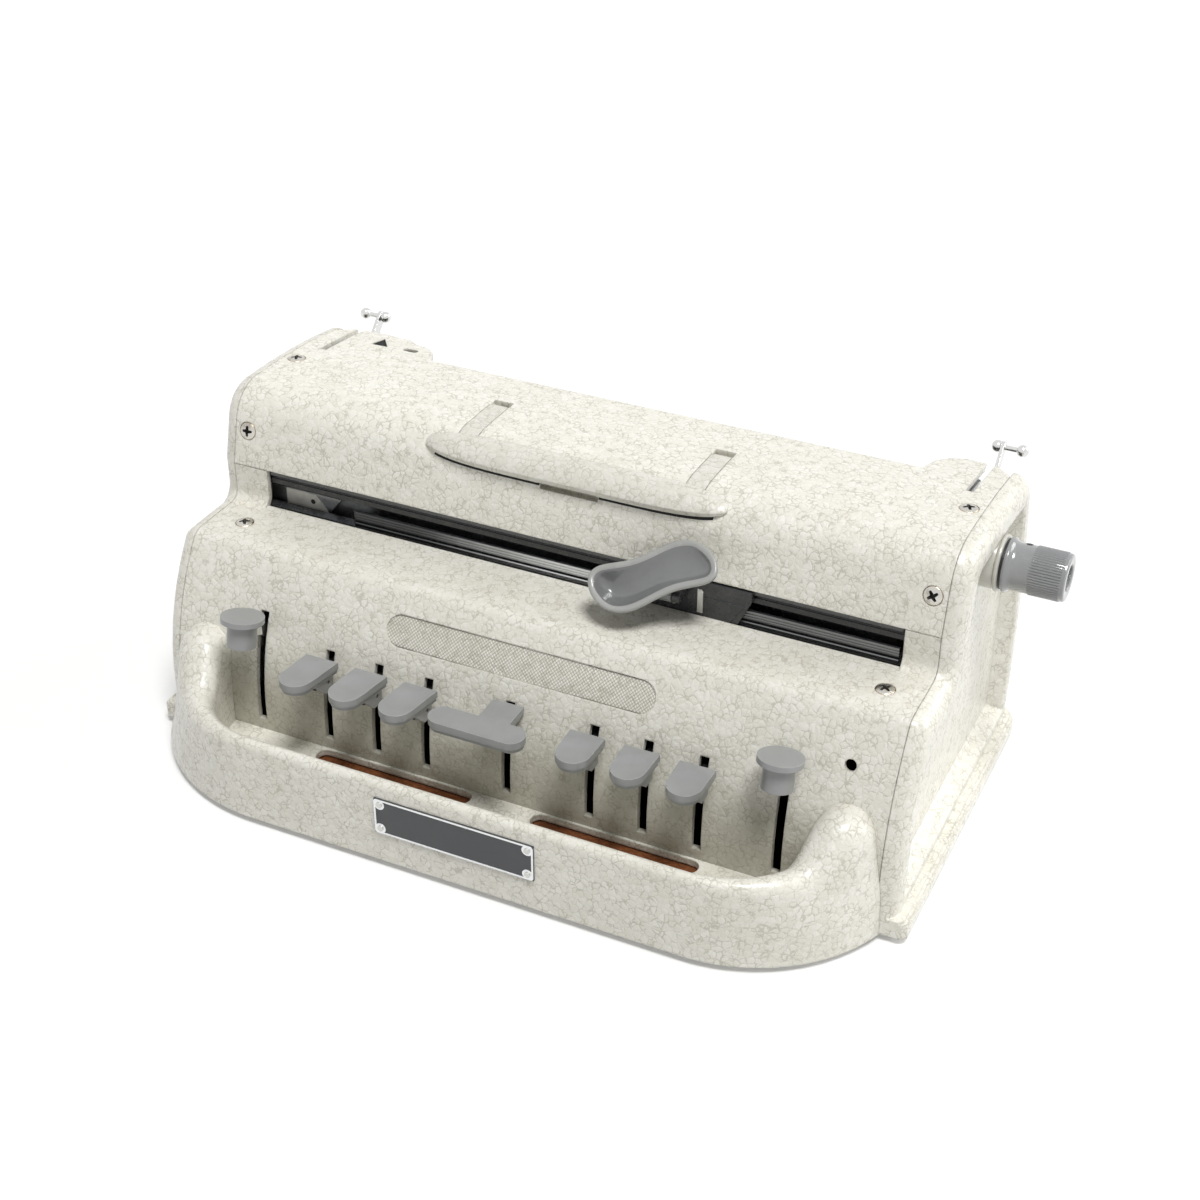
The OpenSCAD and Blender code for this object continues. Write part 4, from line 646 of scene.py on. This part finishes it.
def spoon():
    """Head lever: an open scoop with a rounded rim, deep at its left end, with a channel to the
    right, and the boss and web that carry it."""
    bm = bmesh.new()
    length = 52.7
    rim, foot_end = 2.6, 0.165
    turn = (Matrix.Translation((22, -4, 103.2)) @ Matrix.Rotation(math.radians(42), 4, "X")
            @ Matrix.Rotation(math.radians(29), 4, "Z"))

    def smooth(t):
        t = min(max(t, 0.0), 1.0)
        return t * t * (3 - 2 * t)

    def half(t):
        body = math.sqrt(max(1 - abs(2 * t - 1) ** 5, 0.0))
        waist = 1 - 0.08 * math.sin(math.pi * t) ** 4
        return 11 * body * waist * (1.03 - 0.08 * smooth(t * 1.5))

    def mid(t):
        return -5.4 * t - 2.6 * math.sin(2 * math.pi * t)

    def lift(t):
        return 1.4 * smooth((t - 0.45) * 1.6)
    n = 72
    ts = [0.5 - 0.5 * math.cos(math.pi * i / n) for i in range(n + 1)]
    outline = [(t, 1) for t in ts] + [(t, -1) for t in ts[::-1][1:-1]]
    steps = [0, 0.35, 0.8, 1.5, 2.1, rim]

    def depth_at(t):
        return 7.4 - 4.0 * smooth(t * 1.45)

    def inward(t, side):
        """From the edge at t: that point, its target on the middle line, and its share."""
        ft = min(max(t, foot_end), 1 - foot_end)
        return length * t, mid(t) + side * half(t), length * ft, mid(ft), ft

    def rows_of(t, side):
        """Points from the edge inwards, along the top, as (x, y, z)."""
        ox, oy, mx, my, ft = inward(t, side)
        reach = math.hypot(mx - ox, my - oy)
        depth = depth_at(ft)
        dists = steps + [rim + (reach - rim) * k / 9 for k in range(1, 10)]
        out = []
        for d in dists:
            k = min(d / reach, 1.0)
            if d < 0.8:
                h = -0.8 + math.sqrt(max(0.64 - (0.8 - d) ** 2, 0.0))
            elif d <= 1.5:
                h = 0.0
            elif d <= rim:
                h = -0.45 * ((d - 1.5) / 1.1) ** 2
            else:
                q = min((d - rim) / (reach - rim), 1.0)
                h = -0.45 - (depth - 0.45) * (1 - (1 - q) ** 2.2)
            tt = t + (ft - t) * k
            out.append((ox + (mx - ox) * k, oy + (my - oy) * k, lift(tt) + h))
        return out

    def under_of(t, side):
        """Points of the underside, from the edge inwards."""
        ox, oy, mx, my, ft = inward(t, side)
        depth = depth_at(ft)
        out = [(ox, oy, lift(t) - 1.7)]
        for k in (0.06, 0.2, 0.4, 0.6, 0.8, 1.0):
            tt = t + (ft - t) * k
            h = -2.3 - (depth - 0.1) * (1 - (1 - k) ** 2.2)
            out.append((ox + (mx - ox) * k, oy + (my - oy) * k, lift(tt) + h))
        return out
    top = [[bm.verts.new(turn @ Vector(p)) for p in rows_of(t, side)] for t, side in outline]
    low = [[bm.verts.new(turn @ Vector(p)) for p in under_of(t, side)] for t, side in outline]
    count = len(outline)
    for i in range(count):
        j = (i + 1) % count
        for k in range(len(top[0]) - 1):
            # rows along the rim take material 1, the paler copy, as painted highlight
            quad(bm, top[i][k], top[j][k], top[j][k + 1], top[i][k + 1], 1 if k < 5 else 0)
        for k in range(len(low[0]) - 1):
            quad(bm, low[j][k], low[i][k], low[i][k + 1], low[j][k + 1], 0)
        quad(bm, top[j][0], top[i][0], low[i][0], low[j][0], 1)
    # boss on the pivot and the web that carries the scoop
    x0, x1 = 44.3, 52.7
    ay, az = SPOON_PIN
    circle = polar(3.0, 40)
    hole = polar(1.7, 40)
    rows = [[bm.verts.new((x, ay + p[0], az + p[1])) for p in pts]
            for pts, x in ((hole, x0), (circle, x0), (circle, x1), (hole, x1))]
    for a, b in zip(rows, rows[1:]):
        ring_faces(bm, a, b)
    ring_faces(bm, rows[3], rows[0])
    web = [(9.6, 96.9), (12.1, 100.5), (10.5, 109.6), (9.0, 109.3), (6.9, 107.2), (5.2, 105.3),
           (7.4, 100.2)]
    solid_between(bm, [(x0 + 0.3, y, z) for y, z in web], [(x1 - 0.3, y, z) for y, z in web])
    piece("head_lever_scoop", bm, (spoon_grey, spoon_rim_highlight), "head_lever_arm",
          ("head_lever",), smooth=50)


def quad(bm, a, b, c, d, index):
    """A face on four vertices, or on three where two of them fall together."""
    corners = []
    for vert in (a, b, c, d):
        if all((vert.co - other.co).length > 1e-5 for other in corners):
            corners.append(vert)
    if len(corners) > 2:
        bm.faces.new(corners).material_index = index


def bar_along(bm, x0, x1, section):
    """A bar from x0 to x1 with a section given as (y, z)."""
    solid_between(bm, [(x0, y, z) for y, z in section], [(x1, y, z) for y, z in section])


def rail_strips():
    """Rails in the carriage slot: drawn steel faces with painted light, their black ground, and a
    round lip above, grey as its painted highlight.
    """
    bm = bmesh.new()
    x0, x1 = -101.0, 143.5
    for z0, z1 in ((88.7, 90.0), (90.15, 91.3), (91.45, 92.7)):
        bar_along(bm, x0, x1, [(21.35, z0), (21.2, z0 + 0.15), (21.2, z1 - 0.15), (21.35, z1),
                               (21.8, z1), (21.8, z0)])
    bar_along(bm, x0, x1, [(20.8, 85.0), (20.65, 85.2), (20.65, 87.5), (20.85, 87.8),
                           (21.3, 87.8), (21.3, 85.0)])
    piece("rail_faces", bm, (strip_steel,), "casing", smooth=20)
    bm = bmesh.new()
    bar_along(bm, x0 - 1.0, x1, [(21.8, 85.2), (21.8, 92.8), (22.3, 93.0), (22.3, 85.2)])
    piece("rail_backing", bm, (rail_black,), "casing", smooth=20)
    bm = bmesh.new()
    lip = [(22.1 + 1.6 * math.cos(math.radians(a)), 101.9 + 1.6 * math.sin(math.radians(a)))
           for a in range(80, 281, 20)]
    bar_along(bm, -142.5, 144.5, lip + [(24.2, 99.9), (24.2, 102.6)])
    piece("rail_lip", bm, (lip_painted_highlight,), "casing", smooth=40)


def frame_tab():
    """Face of the left frame's tab behind the slot, painted bright for light that does not reach
    it there, with its small round hole.
    """
    bm = bmesh.new()
    outline = [(-118.4, 84.9), (-124.2, 92.5), (-139.5, 92.5), (-139.5, 84.9)]
    solid_between(bm, [(x, 26.98, z) for x, z in outline], [(x, 26.8, z) for x, z in outline])
    hole = [(-126 + x, 88.65 + z) for x, z in polar(1.15, 20)]
    solid_between(bm, [(x, 26.82, z) for x, z in hole], [(x, 26.76, z) for x, z in hole], 1)
    piece("frame_tab_face", bm, (zinc_painted_light, hole_shade_dark), "casing", smooth=20)


def tab_hole_shade_and_slot_board():
    """Dark blocks in the holes of the left end tab, painted shade where they look into the
    machine; hardboard that fills the floor slots.
    """
    bm = bmesh.new()
    tri = [(-135.5, 96.7), (-127.35, 97.3), (-134.2, 106.5)]
    end_r, half_turn = 1.65, [math.radians(a) for a in range(-90, 91, 20)]
    oval = [(-114.0 + end_r * math.cos(a), 98.8 + end_r * math.sin(a)) for a in half_turn]
    oval += [(-118.0 - end_r * math.cos(a), 98.8 - end_r * math.sin(a)) for a in half_turn]
    for outline, sink in ((tri, 0.5), (oval, 1.1)):
        solid_between(bm, [(x, y, cover_top(y) - 2.4) for x, y in outline],
                      [(x, y, cover_top(y) - sink) for x, y in outline])
    piece("tab_hole_shade", bm, (shade_black,), "casing", smooth=20)
    bm = bmesh.new()
    for side in (-1, 1):
        solid_between(bm, [(side * x, y, 2.98) for x, y in ((12, -46.6), (90, -46.6),
                                                            (90, -36.2), (12, -36.2))],
                      [(side * x, y, 6.2) for x, y in ((12.4, -46.2), (89.6, -46.2),
                                                       (89.6, -36.6), (12.4, -36.6))])
    piece("floor_slot_board", bm, (board_mat,), "casing", smooth=20)


def handle_gap():
    """Dark strip along the lower edge of the handle's bar, painted shade for the gap beneath the
    bar.
    """
    bm = bmesh.new()
    cz = TOP_Z - CROWN_R
    handle_half, back_a, front_a = 67.6, 133, 155
    for x0, x1 in ((-62.5, -13.4), (13.4, 62.5)):
        rows = []
        n = 24
        for i in range(n + 1):
            x = x0 + (x1 - x0) * i / n
            k = math.sqrt(max(1 - (abs(x) / handle_half) ** 5, 0))
            a1 = back_a + (front_a - back_a) * (0.12 + 0.88 * k)
            row = []
            for da, r in ((-3.0, 0.02), (-3.0, 0.24), (3.3, 0.24), (4.0, 0.02)):
                a = math.radians(a1 + da)
                row.append(bm.verts.new((x, CROWN_Y + (CROWN_R + r) * math.cos(a),
                                         cz + (CROWN_R + r) * math.sin(a))))
            rows.append(row)
        for a, b in zip(rows, rows[1:]):
            for k in range(4):
                bm.faces.new((a[k], a[(k + 1) % 4], b[(k + 1) % 4], b[k]))
        bm.faces.new(rows[0][::-1])
        bm.faces.new(rows[-1])
    piece("painted_shade_black", bm, (shade_black,), "casing", smooth=30)


def key_bracket():
    """Plated strip on the side of the left round key's lever, between stem and slot."""
    bm = bmesh.new()
    x0, x1 = LINE_SPACE_X + 1.28, LINE_SPACE_X + 1.75
    side = [(-40.0, 64.4), (-32.5, 61.2), (-32.5, 57.4), (-40.0, 60.4)]
    solid_between(bm, [(x0, y, z) for y, z in side], [(x1, y, z) for y, z in side])
    piece("line_space_bracket", bm, (zinc_painted_light,), "line_space_key", smooth=20)


def carriage_trim():
    """Bracket strip and screw on the carriage's front plate."""
    bm = bmesh.new()
    solid_between(bm, [(60.0, 18.25, 88.4), (62.6, 18.25, 88.4), (62.6, 18.25, 98.4),
                       (61.6, 18.25, 99.6), (60.0, 18.25, 99.6)],
                  [(60.1, 17.7, 88.6), (62.4, 17.7, 88.6), (62.4, 17.7, 98.2),
                   (61.5, 17.7, 99.4), (60.1, 17.7, 99.4)])
    solid_between(bm, [(62.6, 18.28, 86.2), (74.0, 18.28, 86.2), (80.0, 18.28, 96.4),
                       (62.6, 18.28, 96.4)],
                  [(62.9, 18.0, 86.5), (73.8, 18.0, 86.5), (79.4, 18.0, 96.1),
                   (62.9, 18.0, 96.1)], 1)
    piece("carriage_bracket", bm, (silver, rail_black), "carriage", smooth=20)
    bm = bmesh.new()
    add_screw(bm, frame_at((49.5, 18.3, 91.5), (0, -1, 0)), r=2.3, crown=0.6, turn=0.4)
    for vert in bm.verts:
        vert.co.y = min(vert.co.y, 18.6)
    piece("carriage_screw", bm, (screw_steel, hole_shade_dark, screw_edge), "carriage")


def turned(bm, profile, n, index=0, ridge=None):
    """A closed profile of (x, radius) turned about the feed roller's axis. Rows whose x lies
    between the two of ridge get ridges along the axis, one for every four points."""
    rows = []
    for x, r in profile:
        lift = [0.0] * 4
        if ridge and ridge[0] < x < ridge[1]:
            lift = [-0.30, 0.10, 0.10, -0.30]
        rows.append([bm.verts.new((x, ROLLER_Y + (r + lift[i % 4]) * math.cos(2 * math.pi * i / n),
                                   ROLLER_Z + (r + lift[i % 4]) * math.sin(2 * math.pi * i / n)))
                     for i in range(n)])
    for a, b in zip(rows, rows[1:] + rows[:1]):
        ring_faces(bm, a, b, index)


def feed_knob():
    """Waisted knob: a flange, a smooth neck with its set screw hole, a finely ridged grip."""
    bm = bmesh.new()
    turned(bm, [(170.6, 4.2), (170.6, 10.7), (170.8, 11.05), (171.2, 11.2), (171.9, 11.2),
                (172.3, 11.05), (172.6, 10.7), (173.0, 10.25), (173.7, 9.9), (174.8, 9.75),
                (181.0, 9.75), (181.5, 9.9), (193.2, 9.9), (193.7, 9.75), (194.5, 9.75),
                (195.0, 9.6), (195.35, 9.2), (195.5, 8.6), (195.5, 6.1), (195.35, 5.6),
                (194.9, 5.3), (183.4, 5.2), (183.4, 4.2)], 224, 0, (181.2, 193.5))
    # the set screw hole is a dark plug, painted shade
    up = (0, math.cos(math.radians(72)), math.sin(math.radians(72)))
    place = frame_at((177.9, ROLLER_Y, ROLLER_Z), up)
    solid_between(bm, [place @ Vector((x, y, 8.6)) for x, y in polar(1.45, 20)],
                  [place @ Vector((x, y, 9.78)) for x, y in polar(1.45, 20)], 1)
    piece("feed_knob_grip", bm, (knob_grey, hole_shade_dark), "roller", ("paper_knob",),
          smooth=32)
    bm = bmesh.new()
    turned(bm, [(160.6, 8.5), (160.6, 10.95), (166.8, 10.85), (167.2, 10.6), (167.5, 10.6),
                (167.7, 11.1), (167.95, 11.5), (168.3, 11.7), (168.9, 11.7), (169.3, 11.5),
                (169.5, 11.1), (169.5, 8.5)], 96)
    # dark ring between the sleeve and the knob: painted shade for the gap there
    turned(bm, [(169.2, 8.7), (169.2, 10.3), (170.45, 10.3), (170.45, 8.7)], 96, 1)
    piece("bearing_sleeve", bm, (collar_grey, black), "casing", smooth=32)


casing_screws()
nameplate_border()
feed_knob()
emblem_ground()
spoon()
rail_strips()
tab_hole_shade_and_slot_board()
frame_tab()
handle_gap()
key_bracket()
carriage_trim()


# ------------------------------------------------------------------ floor, light, camera
WORLD_LIGHT = 0.26                 # strength of the sky as a lamp
WORLD_SEEN = 1.0                   # its strength where it is seen, straight or in a reflection
FLOOR_GLOW = 0.20                  # added to the floor where it is seen, never to the light


def floor():
    """Pale ground that takes the shadow and is otherwise as white as the sky."""
    mesh = bpy.data.meshes.new("floor")
    r = 8.0
    mesh.from_pydata([(-r, -r, 0), (r, -r, 0), (r, r, 0), (-r, r, 0)], [], [(0, 1, 2, 3)])
    obj = bpy.data.objects.new("floor", mesh)
    bpy.context.scene.collection.objects.link(obj)
    obj.location.z = -0.0002
    m = Mat("floor")
    m.set(color=(0.76, 0.76, 0.755), rough=0.9, spec=0.1)
    light = m.new("ShaderNodeLightPath")
    seen = m.math("MAXIMUM", light.outputs["Is Camera Ray"], light.outputs["Is Glossy Ray"])
    seen = m.math("MAXIMUM", seen, light.outputs["Is Transmission Ray"])
    glow = m.new("ShaderNodeEmission")
    glow.inputs["Color"].default_value = (1.0, 1.0, 0.995, 1.0)
    m.link(m.math("MULTIPLY", seen, FLOOR_GLOW), glow.inputs["Strength"])
    add = m.new("ShaderNodeAddShader")
    m.link(m.bsdf.outputs[0], add.inputs[0])
    m.link(glow.outputs[0], add.inputs[1])
    m.link(add.outputs[0], m.out.inputs["Surface"])
    mesh.materials.append(m.mat)


def lamp(name, towards, strength, spread):
    """A wide, even light from far off; a strength of 1 lights a face that looks at it fully."""
    data = bpy.data.lights.new(name, "SUN")
    data.energy = math.pi * strength
    data.angle = math.radians(spread)
    obj = bpy.data.objects.new(name, data)
    bpy.context.scene.collection.objects.link(obj)
    obj.rotation_mode = "QUATERNION"
    obj.rotation_quaternion = Vector(towards).to_track_quat("Z", "Y")


def world():
    """A white sky, dim as a lamp and bright where it is seen."""
    w = bpy.data.worlds.new("studio")
    bpy.context.scene.world = w
    w.use_nodes = True
    tree = w.node_tree
    tree.nodes.clear()
    out = tree.nodes.new("ShaderNodeOutputWorld")
    back = tree.nodes.new("ShaderNodeBackground")
    light = tree.nodes.new("ShaderNodeLightPath")
    strength = tree.nodes.new("ShaderNodeMapRange")
    either = [tree.nodes.new("ShaderNodeMath") for _ in range(2)]
    for node in either:
        node.operation = "MAXIMUM"
    back.inputs["Color"].default_value = (1.0, 1.0, 1.0, 1.0)
    strength.inputs["To Min"].default_value = WORLD_LIGHT
    strength.inputs["To Max"].default_value = WORLD_SEEN
    for a, b in ((light.outputs["Is Camera Ray"], either[0].inputs[0]),
                 (light.outputs["Is Glossy Ray"], either[0].inputs[1]),
                 (either[0].outputs[0], either[1].inputs[0]),
                 (light.outputs["Is Transmission Ray"], either[1].inputs[1]),
                 (either[1].outputs[0], strength.inputs[0]),
                 (strength.outputs[0], back.inputs["Strength"]),
                 (back.outputs[0], out.inputs["Surface"])):
        tree.links.new(a, b)


def camera():
    """The photograph's camera: its angles, its distance and offsets in half widths of the
    casing, and its focal length in pixels of a picture 1200 wide."""
    az, el = math.radians(25.4115), math.radians(32.8072)
    far, aside, above, half_width = 5.38371527, 0.14439888, 0.46179906, 160.0
    focal_px, picture_px = 2010.16, 1200
    back = Vector((math.sin(az) * math.cos(el), -math.cos(az) * math.cos(el), math.sin(el)))
    right = (-back).cross(Vector((0, 0, 1))).normalized()
    up = right.cross(-back)
    place = (far * back + aside * right + above * up) * half_width
    data = bpy.data.cameras.new("camera")
    data.sensor_width = 36.0
    data.lens = focal_px / picture_px * data.sensor_width
    data.clip_start, data.clip_end = 0.05, 40.0
    obj = bpy.data.objects.new("camera", data)
    bpy.context.scene.collection.objects.link(obj)
    turn = Matrix((right, up, back)).transposed().to_4x4()
    obj.matrix_world = Matrix.Translation((place + SHIFT) / 1000) @ turn
    bpy.context.scene.camera = obj


floor()
world()
lamp("key_light", (0.30, -0.24, 1.0), 0.84, 20.0)
lamp("right_light", (1.0, 0.85, 0.60), 0.42, 35.0)
camera()
bpy.context.scene.view_settings.view_transform = "Standard"
